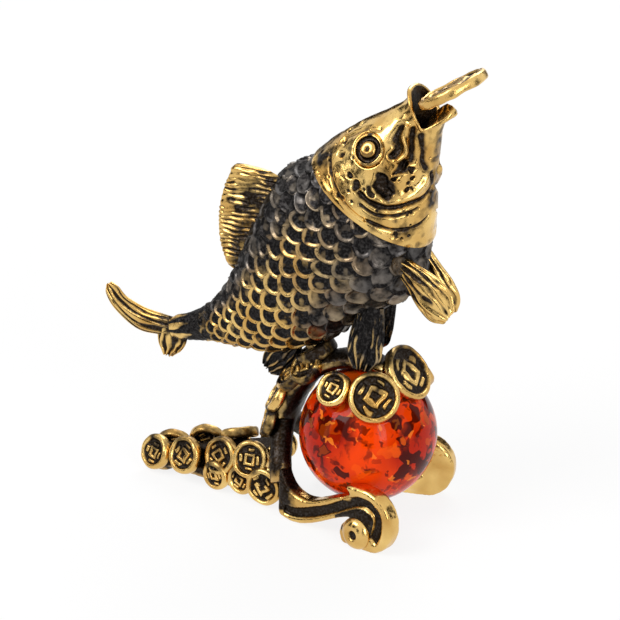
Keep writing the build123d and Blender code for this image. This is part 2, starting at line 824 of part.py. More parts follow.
with BuildPart() as fish_head:
    for station in head_station_shares:
        growth = gill_lift * gill_lift_shares.get(station[0], 0)
        with BuildSketch(fish_plane(station)):
            Ellipse(*station_radii(station, growth))
    loft()
    with BuildSketch(lip_plane):
        Ellipse(lip_half_width - lip_thickness, lip_half_depth - lip_thickness)
    with BuildSketch(lip_plane.offset(-mouth_depth)):
        Ellipse(lip_half_width / 4, lip_half_depth / 4)
    loft(mode=Mode.SUBTRACT)
    with BuildSketch(gape_plane):
        with BuildLine():
            gape_outline = [(mouth_depth * ahead, lip_half_depth * up) for ahead, up in gape_outline_shares]
            Polyline(*gape_outline, close=True)
        make_face()
    extrude(amount=gape_width / 2, both=True, mode=Mode.SUBTRACT)
    for groove_share in gill_groove_shares:
        groove_plane, half_width, half_depth = gill_groove_station(groove_share)
        with BuildSketch(groove_plane):
            Ellipse(half_width * 2, half_depth * 2)
            Ellipse(half_width - gill_groove_depth, half_depth - gill_groove_depth, mode=Mode.SUBTRACT)
            with Locations((0, 2 * half_depth)):
                Rectangle(4 * half_width, 2 * half_depth * (2 - gill_groove_top_share), mode=Mode.SUBTRACT)
        extrude(amount=gill_groove_width, mode=Mode.SUBTRACT)
    for eye_plane in eye_planes:
        with BuildSketch(eye_plane.offset(-eye_out / 2)):
            Circle(eye_diameter / 2)
        extrude(amount=eye_out / 2 + eye_stand_out)
        with BuildSketch(eye_plane.offset(eye_stand_out)):
            Circle(eye_diameter / 2 - eye_ring_width)
            Circle(pupil_diameter / 2, mode=Mode.SUBTRACT)
        extrude(amount=-eye_ring_depth, mode=Mode.SUBTRACT)
    add(neck_plug.part, mode=Mode.SUBTRACT)
    add(mouth_coin, mode=Mode.SUBTRACT)

# Pieces, moved so that the origin lies under the middle of the figurine
pieces = {
    "fish_body": fish_body.part,
    "fish_head": fish_head.part,
    "mouth_coin": mouth_coin,
    "dowel_pin": dowel_pin.part,
    "amber_ball": amber_ball.part,
    "arch": arch.part,
    "trail_core": trail_core.part,
    "scroll_right": scroll_right.part,
    "scroll_left": scroll_left.part,
}
pieces.update({label: fin.part for label, fin in fins.items()})
pieces.update({coin.label: coin for coin in coins})
boxes = [piece.bounding_box() for piece in pieces.values()]
back_end = min(box.min.X for box in boxes)
front_end = max(box.max.X for box in boxes)
figurine_middle = (back_end + front_end) / 2
print("origin moved forward from under the ball by", figurine_middle)
for label, piece in pieces.items():
    placed = piece.moved(Location((-figurine_middle, 0, 0)))
    placed.label = label
    export_step(placed, "parts/" + label + ".step")
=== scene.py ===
import math

import bpy
import numpy as np
from mathutils import Matrix
from mathutils.bvhtree import BVHTree


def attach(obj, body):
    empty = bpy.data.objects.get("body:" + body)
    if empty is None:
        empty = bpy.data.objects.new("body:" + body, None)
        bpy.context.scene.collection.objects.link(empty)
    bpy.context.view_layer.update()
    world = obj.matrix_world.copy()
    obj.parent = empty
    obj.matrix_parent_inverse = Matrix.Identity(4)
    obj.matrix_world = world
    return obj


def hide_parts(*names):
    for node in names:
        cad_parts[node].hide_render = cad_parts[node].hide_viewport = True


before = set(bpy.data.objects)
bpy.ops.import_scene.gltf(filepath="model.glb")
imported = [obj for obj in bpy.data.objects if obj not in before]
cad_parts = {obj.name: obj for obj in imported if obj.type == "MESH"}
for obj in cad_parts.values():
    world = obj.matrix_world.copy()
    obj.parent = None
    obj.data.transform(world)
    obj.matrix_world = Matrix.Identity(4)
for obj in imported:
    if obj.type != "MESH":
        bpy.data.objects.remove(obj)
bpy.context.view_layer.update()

# Lengths are millimetres, and become metres where a mesh or a lamp is made. Leans are degrees.
# Levels are two values of a field: ease() gives 0 at the first and 1 at the second.
# A layer is a weight and two levels. A dimmer is its least share and two levels.
# A bump is a height, a lump size and a seed. A patch is a weight, a lump size, a seed and two levels.
mm = 0.001
tiny = 1e-12
whole_turn = 2 * np.pi
left_side = np.array([0.0, 1.0, 0.0])
upwards = np.array([0.0, 0.0, 1.0])
body_name = "root"

# Amber ball, which stands ahead of the origin under the middle of the figurine
ball_ahead = 8.976
ball_height = 9.0
ball_radius = 7.0
ball_polish = 0.02
ball_unevenness = 0.04
ball_middle = np.array([ball_ahead, 0.0, ball_height])

# Fish
tail_behind_ball = 22.4
tail_height = 16.0
fish_run = 29.3
fish_rise = 30.0
body_depth = 16.0
body_width = 10.8
gill_lift = 0.68
belly_swell = 0.7
belly_place = 18.2
belly_reach = 3.6
neck_tuck = 0.75
tail_tuck = 0.15
tail_root = np.array([ball_ahead - tail_behind_ball, 0.0, tail_height])

# Scales
scale_width_middle = 2.25
scale_width_tail = 1.35
scale_growth_start = 2.0
scale_growth_length = 15.0
scale_column_share = 0.70
scale_radius_share = 0.585
scale_stray_share = 0.05
scale_tilt_height = 0.22
scale_rim_height = 0.16
scale_dish_depth = 0.12
scale_edge_drop = 0.10
scale_sink = 0.22

# Fit of the skin to the solids
fit_start = 14.0
fit_least = 0.88
fit_most = 1.25
fit_rows = 44
fit_columns = 72

# Head
eye_share = 0.47
eye_turn = 22.0
eye_stand = 0.06
eye_socket_depth = 0.45
lip_roll = 0.36
lower_lip_growth = 0.7
mouth_depth = 2.4
gill_rim_place = 0.30
gill_rim_width = 0.42
gill_rim_height = 0.10
gill_tuck_depth = gill_lift + 0.5

# Coins
coin_rim_width = 0.50
coin_recess = 0.30
coin_wall_foot = 0.16
coin_wall_head = 0.10
coin_edge_radius = 0.34
coin_motif_height = 0.26
coin_motif_warp = 0.30

# Fins
paddle_thickness = 1.0
pectoral_length = 7.2
pectoral_width = 4.2
pectoral_bend = 0.5
pelvic_length = 6.4
pelvic_width = 3.4
pelvic_bend = 0.4
anal_length = 4.2
anal_width = 3.2
anal_bend = 0.3
dorsal_length = 12.0
dorsal_height = 4.2
dorsal_thickness = 1.1
dorsal_root_depth = 0.9
upper_lobe_reach = 7.5
upper_lobe_rise = 3.3
upper_lobe_width = 2.7
lower_lobe_reach = 0.6
lower_lobe_drop = 3.1
lower_lobe_width = 3.2
tail_lobe_thickness = 1.0
ray_height = 0.13

# Wave scrolls and their knobs
scroll_splay = 13.0
scroll_rear = ball_ahead - 7.4
left_scroll_setback = 0.8
knob_ahead = ball_ahead + 2.61
knob_out = 7.53
knob_height = 1.60

# Camera, at the place of the photograph
view_target = np.array([ball_ahead - 6.572, 0.0, 21.044])
view_distance = 400.0
view_turn = 27.5
view_height = 23.5
image_pixels = 620
focal_pixels = 4000
sensor_width = 36.0

# Counts of rows and columns of points
body_grid = (430, 540)
head_grid = (240, 420)
blade_columns = 132
paddle_rows = 70
lobe_rows = 80
dorsal_columns = 260
dorsal_levels = 46
turned_columns = 72
coin_face_rows = 30
coin_rim_rows = 20
coin_columns = 128
ball_grid = (110, 200)


# Directions and curves
def unit(vector):
    """The same direction at length one."""
    return vector / np.linalg.norm(vector)


def heading(lean):
    """Direction in the fish's middle plane at a lean above the table."""
    angle = np.radians(lean)
    return np.stack([np.cos(angle), 0 * angle, np.sin(angle)], -1)


def upright(lean):
    """Direction in the middle plane square to the heading, towards the back of the fish."""
    angle = np.radians(lean)
    return np.stack([-np.sin(angle), 0 * angle, np.cos(angle)], -1)


def ring_turns(count):
    """Even turns once round, in radians."""
    return np.linspace(0, whole_turn, count, endpoint=False)


def ease(low, high, value):
    """Smooth step from 0 at low to 1 at high."""
    share = np.clip((value - low) / (high - low), 0, 1)
    return share * share * (3 - 2 * share)


def mix(low, high, share):
    """Value between two, by the share of the second."""
    return low + (high - low) * share


def layer(row, field):
    """A weight that sets in between two levels of a field."""
    weight, low, high = row
    return weight * ease(low, high, field)


def dimmer(row, field):
    """A share that goes from its least to one between two levels of a field."""
    least, low, high = row
    return mix(least, 1, ease(low, high, field))


def bell(distance, width, power=2):
    """1 at no distance, falling away past the width."""
    return np.exp(-(distance / width) ** power)


def through(knots, values, places):
    """Smooth curve through the values at the knots, read at the places."""
    values = np.asarray(values, float)
    slopes = np.gradient(values, knots, axis=0)
    index = np.clip(np.searchsorted(knots, places) - 1, 0, len(knots) - 2)
    span = knots[index + 1] - knots[index]
    share = (places - knots[index]) / span
    if values.ndim > 1:
        span = span[..., None]
        share = share[..., None]
    square = share * share
    cube = square * share
    start = (2 * cube - 3 * square + 1) * values[index]
    end = (3 * square - 2 * cube) * values[index + 1]
    start_bend = (cube - 2 * square + share) * span * slopes[index]
    end_bend = (cube - square) * span * slopes[index + 1]
    return (start + start_bend) + (end + end_bend)


def finer(rows, count):
    """Smooth curve through rows of values, read at a count of even steps."""
    steps = np.linspace(0, len(rows) - 1, count)
    return through(np.arange(len(rows), dtype=float), rows, steps)


# Random fields
hash_steps = (127.1, 311.7, 74.7)
hash_seed_step = 53.3
hash_size = 43758.5453


def hash_noise(cells, seed):
    """A steady random share for each whole-number cell."""
    mixed = sum(cells[..., axis] * step for axis, step in enumerate(hash_steps))
    mixed = np.sin(mixed + seed * hash_seed_step) * hash_size
    return mixed - np.floor(mixed)


def soft_noise(points, size, seed):
    """Smooth random field, from 0 to 1, whose lumps have that size."""
    scaled = points / size
    cell = np.floor(scaled)
    part = scaled - cell
    part = part * part * (3 - 2 * part)
    total = 0
    for corner in np.ndindex(2, 2, 2):
        step = np.array(corner)
        weight = np.prod(np.where(step == 1, part, 1 - part), axis=-1)
        total = total + weight * hash_noise(cell + step, seed)
    return total


def bumps(points, *rows):
    """Sum of random bumps, each a height, a lump size and a seed."""
    return sum(height * (soft_noise(points, size, seed) - 0.5) for height, size, seed in rows)


def patches(points, row):
    """Random patches of a weight, which set in between two levels of the noise."""
    weight, size, seed, low, high = row
    return layer((weight, low, high), soft_noise(points, size, seed))


def stray(points, reach, size, seeds):
    """Random moves of up to half the reach, one for each seed."""
    return np.stack([bumps(points, (reach, size, seed)) for seed in seeds], -1)


# Meshes
def put_in_scene(name, data):
    """New object that holds a mesh, a lamp or a camera."""
    thing = bpy.data.objects.new(name, data)
    bpy.context.scene.collection.objects.link(thing)
    return thing


def read_rows(items, label, width, kind=float):
    """Rows of numbers read from the vertices, edges or triangles of a mesh."""
    values = np.empty(len(items) * width, kind)
    items.foreach_get(label, values)
    return values.reshape(-1, width)


def grid_faces(rows, columns):
    """Quads over a grid of points that is closed round its columns."""
    row = np.arange(rows - 1)[:, None]
    column = np.arange(columns)[None, :]
    first = row * columns + column
    second = row * columns + (column + 1) % columns
    return np.stack([first, second, second + columns, first + columns], -1).reshape(-1, 4)


def make_piece(name, points, material, wear_and_shade, gilt, nodes, faces=None):
    """One piece of the figurine, with its wear and painted shade, and its gilt, at each point. Without faces,
    it is a closed grid.
    """
    if faces is None:
        faces = grid_faces(*points.shape[:2])
    places = points.reshape(-1, 3) * mm
    places[:, 2] = np.maximum(places[:, 2], 0)
    mesh = bpy.data.meshes.new(name)
    mesh.from_pydata(places.tolist(), [], faces.tolist())
    mesh.polygons.foreach_set("use_smooth", [True] * len(mesh.polygons))
    for label, values in (("wear_and_shade", wear_and_shade), ("gilt", gilt)):
        spread = np.broadcast_to(values, points.shape[:-1]).astype(np.float32).ravel()
        mesh.attributes.new(label, "FLOAT", "POINT").data.foreach_set("value", spread)
    mesh.materials.append(material)
    piece = put_in_scene(name, mesh)
    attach(piece, body_name)
    if nodes:
        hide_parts(*nodes)


def surface_normals(points):
    """Outward normals of a grid that is closed round its columns."""
    along = np.gradient(points, axis=0)
    around = np.roll(points, -1, axis=1) - np.roll(points, 1, axis=1)
    normals = np.cross(around, along)
    return normals / np.maximum(np.linalg.norm(normals, axis=-1, keepdims=True), tiny)


# Shader nodes
def add_node(tree, kind, **settings):
    """A shader node with its sockets and properties set by name."""
    node = tree.nodes.new(kind)
    for label, value in settings.items():
        if hasattr(node, label):
            setattr(node, label, value)
        else:
            node.inputs[label.replace("_", " ")].default_value = value
    return node


def set_sockets(node, **values):
    """Sets sockets of a node by name."""
    for label, value in values.items():
        node.inputs[label.replace("_", " ")].default_value = value


def mixed_colour(tree, share, first, second):
    """Colour between two, each a colour or an output, by an output that is the share of the second."""
    node = add_node(tree, "ShaderNodeMix", data_type="RGBA")
    tree.links.new(share, node.inputs[0])
    for socket, value in ((node.inputs[6], first), (node.inputs[7], second)):
        if isinstance(value, tuple):
            socket.default_value = (*value, 1)
        else:
            tree.links.new(value, socket)
    return node.outputs[2]


def noise_field(tree, place, scale, detail, output="Fac"):
    """Noise with lumps of about one over the scale in metres."""
    node = add_node(tree, "ShaderNodeTexNoise", Scale=scale, Detail=detail)
    tree.links.new(place, node.inputs["Vector"])
    return node.outputs[output]


def ranged(tree, value, levels, results=(0.0, 1.0)):
    """A value moved from between two levels to between two results, and held there."""
    node = add_node(tree, "ShaderNodeMapRange", From_Min=levels[0], From_Max=levels[1],
                    To_Min=results[0], To_Max=results[1])
    tree.links.new(value, node.inputs["Value"])
    return node.outputs["Result"]


def joined(tree, first, second, operation="ADD"):
    """Sum of two outputs, or another operation on them."""
    node = add_node(tree, "ShaderNodeMath", operation=operation)
    tree.links.new(first, node.inputs[0])
    tree.links.new(second, node.inputs[1])
    return node.outputs[0]


def seen_share(tree):
    """1 for what the camera sees, straight, through something or in a reflection."""
    rays = tree.nodes.new("ShaderNodeLightPath").outputs
    seen = joined(tree, rays["Is Camera Ray"], rays["Is Transmission Ray"], "MAXIMUM")
    return joined(tree, seen, rays["Is Glossy Ray"], "MAXIMUM")


def new_material(name):
    """A node material with its tree and its shader."""
    material = bpy.data.materials.new(name)
    material.use_nodes = True
    tree = material.node_tree
    return material, tree, tree.nodes["Principled BSDF"]


def own_place(tree):
    """Place in the object's own space."""
    return tree.nodes.new("ShaderNodeTexCoord").outputs["Object"]


# Antique brass
# Each noise: scale per metre and detail
lump_noise = (900.0, 3.0)
grit_noise = (4200.0, 2.0)
stain_noise = (260.0, 2.0)
noise_levels = (0.3, 0.7)
lump_wear = (-0.22, 0.22)
rubbed_and_lit_levels = (0.25, 0.75)
stain_levels = (0.35, 0.65)
speck_glint_levels = (0.45, 0.80)
speck_glint_shares = (0.0, 0.35)
scuff_roughness = (-0.07, 0.07)
casting_pit_depth = 0.06
black_patina = (0.011, 0.010, 0.010)
brown_patina = (0.019, 0.012, 0.007)
grey_metal = (0.155, 0.145, 0.14)
pale_gold = (0.85, 0.58, 0.205)
deep_gold = (0.56, 0.32, 0.085)


def antique_brass(name, patina, dull, bright, pitting):
    """Cast brass, dark in its hollows and rubbed bright where it stands proud; its point field also carries
    painted shade and painted sheen on some pieces.
    """
    material, tree, shader = new_material(name)
    place = own_place(tree)
    wear_and_shade = add_node(tree, "ShaderNodeAttribute", attribute_name="wear_and_shade").outputs["Fac"]
    gilt = add_node(tree, "ShaderNodeAttribute", attribute_name="gilt").outputs["Fac"]
    lumps = noise_field(tree, place, *lump_noise)
    grit = noise_field(tree, place, *grit_noise)
    stain = noise_field(tree, place, *stain_noise)
    patchy_wear_and_shade = joined(tree, wear_and_shade, ranged(tree, lumps, noise_levels, lump_wear))
    # How rubbed each point is, together with the painted shade and sheen of some pieces
    rubbed_and_lit = ranged(tree, patchy_wear_and_shade, rubbed_and_lit_levels)
    golden = mixed_colour(tree, ranged(tree, stain, stain_levels), pale_gold, deep_gold)
    proud = mixed_colour(tree, gilt, grey_metal, golden)
    # Grey metal specks in the dark hollows, partly painted glints
    hollow = mixed_colour(tree, ranged(tree, grit, speck_glint_levels, speck_glint_shares), patina, grey_metal)
    tree.links.new(mixed_colour(tree, rubbed_and_lit, hollow, proud), shader.inputs["Base Color"])
    polish = ranged(tree, rubbed_and_lit, (0.0, 1.0), (dull, bright))
    scuffs = ranged(tree, grit, noise_levels, scuff_roughness)
    tree.links.new(joined(tree, polish, scuffs), shader.inputs["Roughness"])
    set_sockets(shader, Metallic=1.0)
    bump = add_node(tree, "ShaderNodeBump", Strength=pitting, Distance=casting_pit_depth * mm)
    tree.links.new(joined(tree, lumps, grit), bump.inputs["Height"])
    tree.links.new(bump.outputs["Normal"], shader.inputs["Normal"])
    return material


# Drawn brass of the dowel, dark as painted shade where it sits between the fish and the coin under it
line_noise = (3000.0, 4.0)
shaded_dark_wire = (0.16, 0.10, 0.04)
shaded_light_wire = (0.34, 0.23, 0.10)
wire_roughness = (0.22, 0.40)


def drawn_brass(name):
    """Brass wire with fine draw lines, dark all over as painted shade between the fish and the coin under it.
    """
    material, tree, shader = new_material(name)
    lines = noise_field(tree, own_place(tree), *line_noise)
    tone = mixed_colour(tree, ranged(tree, lines, noise_levels), shaded_dark_wire, shaded_light_wire)
    tree.links.new(tone, shader.inputs["Base Color"])
    tree.links.new(ranged(tree, lines, noise_levels, wire_roughness), shader.inputs["Roughness"])
    set_sockets(shader, Metallic=1.0)
    return material


# Pressed amber
bend_noise = (480.0, 2.0)
bend_reach = 3.0
cloud_noise = (150.0, 2.0)
streak_noise = (700.0, 4.0)
large_flake_scale = 640.0
small_flake_scale = 1350.0
flake_smoothness = 0.30
cloud_levels = (0.40, 0.60)
red_cloud = (0.42, 0.014, 0.001)
orange_cloud = (0.78, 0.050, 0.001)
murk_levels = (0.38, 0.62)
murk_moves = (0.16, -0.30)
amber_gloss = {"Roughness": 0.05, "IOR": 1.54, "Specular_IOR_Level": 0.09}
amber_depth = {"Subsurface_Weight": 0.15, "Subsurface_Radius": (1.0, 0.25, 0.05),
               "Subsurface_Scale": 0.8 * mm}


def flake_layer(tree, place, scale, metric):
    """Two random shares, each the same all over one flake."""
    flakes = add_node(tree, "ShaderNodeTexVoronoi", Scale=scale, feature="SMOOTH_F1", distance=metric)
    set_sockets(flakes, Smoothness=flake_smoothness)
    tree.links.new(place, flakes.inputs["Vector"])
    tones = add_node(tree, "ShaderNodeSeparateColor")
    tree.links.new(flakes.outputs["Color"], tones.inputs["Color"])
    return tones.outputs["Red"], tones.outputs["Green"]


def bent_place(tree, place):
    """Place moved by a smooth noise, so that what is drawn with it bends."""
    stretch = add_node(tree, "ShaderNodeVectorMath", operation="SCALE")
    tree.links.new(noise_field(tree, place, *bend_noise, "Color"), stretch.inputs[0])
    set_sockets(stretch, Scale=bend_reach * mm)
    move = add_node(tree, "ShaderNodeVectorMath", operation="ADD")
    tree.links.new(place, move.inputs[0])
    tree.links.new(stretch.outputs["Vector"], move.inputs[1])
    return move.outputs["Vector"]


def pressed_amber(name):
    """Deep orange amber with red clouds, dark curled flakes and small bright glints in it."""
    material, tree, shader = new_material(name)
    place = own_place(tree)
    bent = bent_place(tree, place)
    cloud = noise_field(tree, place, *cloud_noise)
    streak = noise_field(tree, bent, *streak_noise)
    large_dark, large_light = flake_layer(tree, bent, large_flake_scale, "EUCLIDEAN")
    small_dark, small_light = flake_layer(tree, bent, small_flake_scale, "CHEBYCHEV")
    murk = joined(tree, large_dark, ranged(tree, cloud, murk_levels, murk_moves))
    tone = mixed_colour(tree, ranged(tree, cloud, cloud_levels), red_cloud, orange_cloud)
    # Each row, from the lowest: a driver, the levels where its colour sets in, its most share, its colour
    layers = [(murk, (0.46, 0.70), 0.92, (0.030, 0.002, 0.001)),
              (small_dark, (0.72, 0.86), 0.75, (0.060, 0.003, 0.001)),
              (streak, (0.56, 0.66), 0.6, (0.050, 0.002, 0.001)),
              (large_light, (0.78, 0.95), 0.55, (0.92, 0.12, 0.003)),
              (small_light, (0.92, 0.98), 0.6, (1.0, 0.26, 0.02))]
    for driver, levels, most, colour in layers:
        tone = mixed_colour(tree, ranged(tree, driver, levels, (0.0, most)), tone, colour)
    tree.links.new(tone, shader.inputs["Base Color"])
    set_sockets(shader, **amber_gloss, **amber_depth)
    return material


scale_brass = antique_brass("scale_brass", black_patina, dull=0.46, bright=0.30, pitting=0.35)
polished_brass = antique_brass("polished_brass", brown_patina, dull=0.40, bright=0.20, pitting=0.22)
coin_brass = antique_brass("coin_brass", brown_patina, dull=0.50, bright=0.26, pitting=0.35)
wire_brass = drawn_brass("wire_brass")
amber = pressed_amber("pressed_amber")

# Fish stations
# Each row: share of the run, share of the rise, lean, share of the depth, share of the width
station_shares = np.array([
    (0.000, 0.000, 12, 0.150, 0.17),
    (0.120, 0.033, 17, 0.215, 0.24),
    (0.234, 0.080, 22, 0.370, 0.41),
    (0.335, 0.135, 30, 0.590, 0.62),
    (0.449, 0.243, 38, 0.800, 0.84),
    (0.597, 0.410, 47, 0.985, 1.00),
    (0.780, 0.617, 58, 0.820, 0.93),
    (0.815, 0.690, 59, 0.760, 0.89),
    (0.862, 0.785, 60, 0.610, 0.76),
    (0.928, 0.890, 62, 0.375, 0.50),
    (0.968, 0.950, 63, 0.275, 0.40),
    (1.000, 1.000, 63, 0.290, 0.42),
])
neck_row = 6
mouth_lean = station_shares[-1, 2]
station_places = np.column_stack([tail_root[0] + fish_run * station_shares[:, 0],
                                  tail_root[2] + fish_rise * station_shares[:, 1]])
station_steps = np.linalg.norm(np.diff(station_places, axis=0), axis=1)
station_knots = np.concatenate([[0], np.cumsum(station_steps)])
neck_length = station_knots[neck_row]
fish_length = station_knots[-1]
head_length = fish_length - neck_length


def fish_section(length):
    """Place ahead, height, lean in radians, half width and half depth of the fish at a length."""
    rows = through(station_knots, np.column_stack([station_places, station_shares[:, 2:]]), length)
    lean = np.radians(rows[..., 2])
    return rows[..., 0], rows[..., 1], lean, rows[..., 4] * body_width / 2, rows[..., 3] * body_depth / 2


def fish_surface(length, turn, growth=0):
    """Point of the fish's skin. The turn is 0 on its left flank and a quarter on its back."""
    ahead, height, lean, half_width, half_depth = fish_section(length)
    side = (half_width + growth) * np.cos(turn)
    back = (half_depth + growth) * np.sin(turn)
    return np.stack([ahead - np.sin(lean) * back, side, height + np.cos(lean) * back], -1)


def fish_middle(length):
    """Middle of the fish at a length from its tail."""
    ahead, height = fish_section(length)[:2]
    return np.stack([ahead, 0 * ahead, height], -1)


# Fit to the solids
def node_mesh(node):
    """Points in millimetres and triangle corners of a CAD node."""
    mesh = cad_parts[node].data
    mesh.calc_loop_triangles()
    return read_rows(mesh.vertices, "co", 3) / mm, read_rows(mesh.loop_triangles, "vertices", 3, int)


def solid_shares(node, lengths, growth, smoothing):
    """How far a node's solid stands out from the fish's plain skin, as smoothed shares on a coarse grid."""
    points, corners = node_mesh(node)
    solid = BVHTree.FromPolygons(points.tolist(), corners.tolist())
    length, turn = np.meshgrid(lengths, ring_turns(fit_columns), indexing="ij")
    middle = fish_middle(length)
    outwards = fish_surface(length, turn, growth(length, turn)) - middle
    reach = np.linalg.norm(outwards, axis=-1)
    way = outwards / reach[..., None]
    shares = np.ones(length.shape)
    for place in np.ndindex(length.shape):
        start = middle[place] + way[place] * fit_start
        hit = solid.ray_cast(start.tolist(), (-way[place]).tolist())[0]
        if hit is not None:
            shares[place] = np.linalg.norm(np.array(hit) - middle[place]) / reach[place]
    shares = np.clip(shares, fit_least, fit_most)
    for _ in range(smoothing):
        shares = (shares + np.roll(shares, 1, axis=1) + np.roll(shares, -1, axis=1)) / 3
        padded = np.pad(shares, ((1, 1), (0, 0)), mode="edge")
        shares = (padded[:-2] + padded[1:-1] + padded[2:]) / 3
    return shares


def fitted(skin, length, turn, lengths, shares):
    """Skin moved to the solid by shares on a coarse grid of lengths and turns."""
    column = np.mod(turn, whole_turn) * fit_columns / whole_turn
    left = np.floor(column).astype(int) % fit_columns
    right = (left + 1) % fit_columns
    aside = column - np.floor(column)
    row = np.interp(length, lengths, np.arange(len(lengths)))
    below = np.minimum(np.floor(row).astype(int), len(lengths) - 2)
    low = mix(shares[below, left], shares[below, right], aside)
    high = mix(shares[below + 1, left], shares[below + 1, right], aside)
    middle = fish_middle(length)
    return middle + (skin - middle) * mix(low, high, row - below)[..., None]


# Body with its scales
# Reach in the scale, as a share of its radius, where the rim, the dish and the edge set in
rim_levels = (0.66, 0.90)
dish_levels = (0.75, 0.2)
edge_levels = (0.95, 1.0)
bright_rim_inner_levels = (0.62, 0.78)
bright_rim_outer_levels = (1.0, 0.98)
# Each wave: radians from column to column and from row to row, so that no two scales are alike
column_waves = (12.9, 7.7)
row_waves = (5.1, 11.3)
outline_waves = (3.7, 2.9)
tone_waves = (41.3, 23.9)
outline_lobes = 3


def scale_wave(index, row, waves, turn=0):
    """A wave that differs from scale to scale."""
    return np.sin(turn + index * waves[0] + row * waves[1])


def scale_width(length):
    """Width of a scale at a length from the tail root."""
    growth = ease(scale_growth_start, scale_growth_start + scale_growth_length, length)
    return mix(scale_width_tail, scale_width_middle, growth)


def scale_relief(column, row):
    """Height, nearness to the free rim, lean to the tail and own tone of the scale that shows at a place."""
    height, rim, tail_side, tone = (np.zeros_like(column) for _ in range(4))
    open_place = np.ones(column.shape, bool)
    nearest = np.floor(column / scale_column_share)
    for ahead in (2, 1, 0, -1):
        index = nearest + ahead
        offset = 0.5 * np.mod(index, 2)
        middle_row = np.round(row - offset) + offset
        back_stray = scale_stray_share * scale_wave(index, middle_row, column_waves)
        back = index * scale_column_share + back_stray - column
        beside = row - middle_row - scale_stray_share * scale_wave(index, middle_row, row_waves)
        bearing = outline_lobes * np.arctan2(beside, back)
        uneven = 1 + scale_stray_share * scale_wave(index, middle_row, outline_waves, bearing)
        reach = np.hypot(back, beside) / (scale_radius_share * uneven)
        inside = open_place & (reach <= 1)
        lean = back / scale_radius_share
        shape = scale_tilt_height * (0.5 + 0.5 * lean) + scale_rim_height * ease(*rim_levels, reach)
        shape = shape - scale_dish_depth * ease(*dish_levels, reach)
        shape = shape - scale_edge_drop * ease(*edge_levels, reach)
        bright_rim = ease(*bright_rim_inner_levels, reach) * ease(*bright_rim_outer_levels, reach)
        height = np.where(inside, shape, height)
        rim = np.where(inside, bright_rim, rim)
        tail_side = np.where(inside, lean, tail_side)
        tone = np.where(inside, 0.5 + 0.5 * scale_wave(index, middle_row, tone_waves), tone)
        open_place = open_place & ~inside
    return height, rim, tail_side, tone


def scale_columns(lengths):
    """Columns of scales from the tail root to each length, in widths of a scale."""
    ends = [0.0]
    while ends[-1] < lengths[-1]:
        ends.append(ends[-1] + scale_column_share * scale_width(ends[-1]))
    return np.interp(lengths, ends, scale_column_share * np.arange(len(ends)))


def flank_run(skin, turn):
    """Run round the skin from the middle of the nearer flank, positive towards the back."""
    step = np.linalg.norm(np.diff(skin, axis=1, append=skin[:, :1]), axis=-1)
    run = np.cumsum(step, axis=1) - step
    full = run[:, -1:] + step[:, -1:]
    left_run = np.where(turn > np.pi, run - full, run)
    return np.where(np.cos(turn) >= 0, left_run, full / 2 - run)


# Skin of the body
under_head_share = 0.12
neck_tuck_levels = (neck_length - 0.1, neck_length + 0.8)
tail_tuck_levels = (1.2, 0.0)
body_fit_ends = (1.0, neck_length - 0.4)
body_fit_smoothing = 3
full_belly_levels = (-0.45, -0.90)
scaled_levels = (2.5, 7.5)
body_bumps = [(0.10, 0.85, 3), (0.05, 0.4, 33)]

# Gold, wear, painted grey sheen and painted shade of the body, with levels of the height on its section from
# -1 at the belly to 1 at the back
gold_flank_levels = (0.80, 0.15)
gold_neck = (0.25, neck_length - 2.0, neck_length - 9.0)
gold_tail_levels = (7.0, 2.0)
gold_lumps = (3.5, 8)
gold_lump_shares = (0.50, 1.25)
scale_gold_spread = 0.20
belly_levels = (-0.20, -0.70)
belly_length_levels = (0.42 * neck_length, 0.62 * neck_length)
belly_gold_loss = 0.85
grey_sheen_back = (0.55, 0.30, 0.75)
shine_patch = (1.0, 0.75, 21, 0.50, 0.72)
grey_sheen_tones = (0.43, 0.73)
tucked_edge_shade_levels = (-0.9, 0.2)
grey_shine_share = 0.75
brown_face_shine = 0.32
broken_lumps = (0.8, 31)
broken_gold = 0.35
broken_levels = (0.20, 0.55)
rim_tail_side_levels = (-0.45, 0.25)
rim_shine_share = 0.50
streak_steps = (0.25, 2.2)
streak_lumps = (0.6, 5)
streak_levels = (0.45, 0.80)
streak_flank_levels = (0.45, -0.35)
plain_shine = 0.12
tail_shine = (0.8, 4.0, 0.3)
tail_streak_levels = (0.25, 0.55)


def no_growth(length, turn):
    """The plain skin, as the body has it."""
    return np.zeros_like(length)


def body_gilt(skin, length, across, belly, tone):
    """How golden the body is: most on the flanks and the tail, least on the belly and near the head."""
    gilt = ease(*gold_flank_levels, across) * dimmer(gold_neck, length)
    gilt = np.maximum(gilt, ease(*gold_tail_levels, length))
    gilt = gilt * mix(*gold_lump_shares, soft_noise(skin, *gold_lumps))
    return np.clip((1 - belly_gold_loss * belly) * gilt + scale_gold_spread * (tone - 0.5), 0, 1)


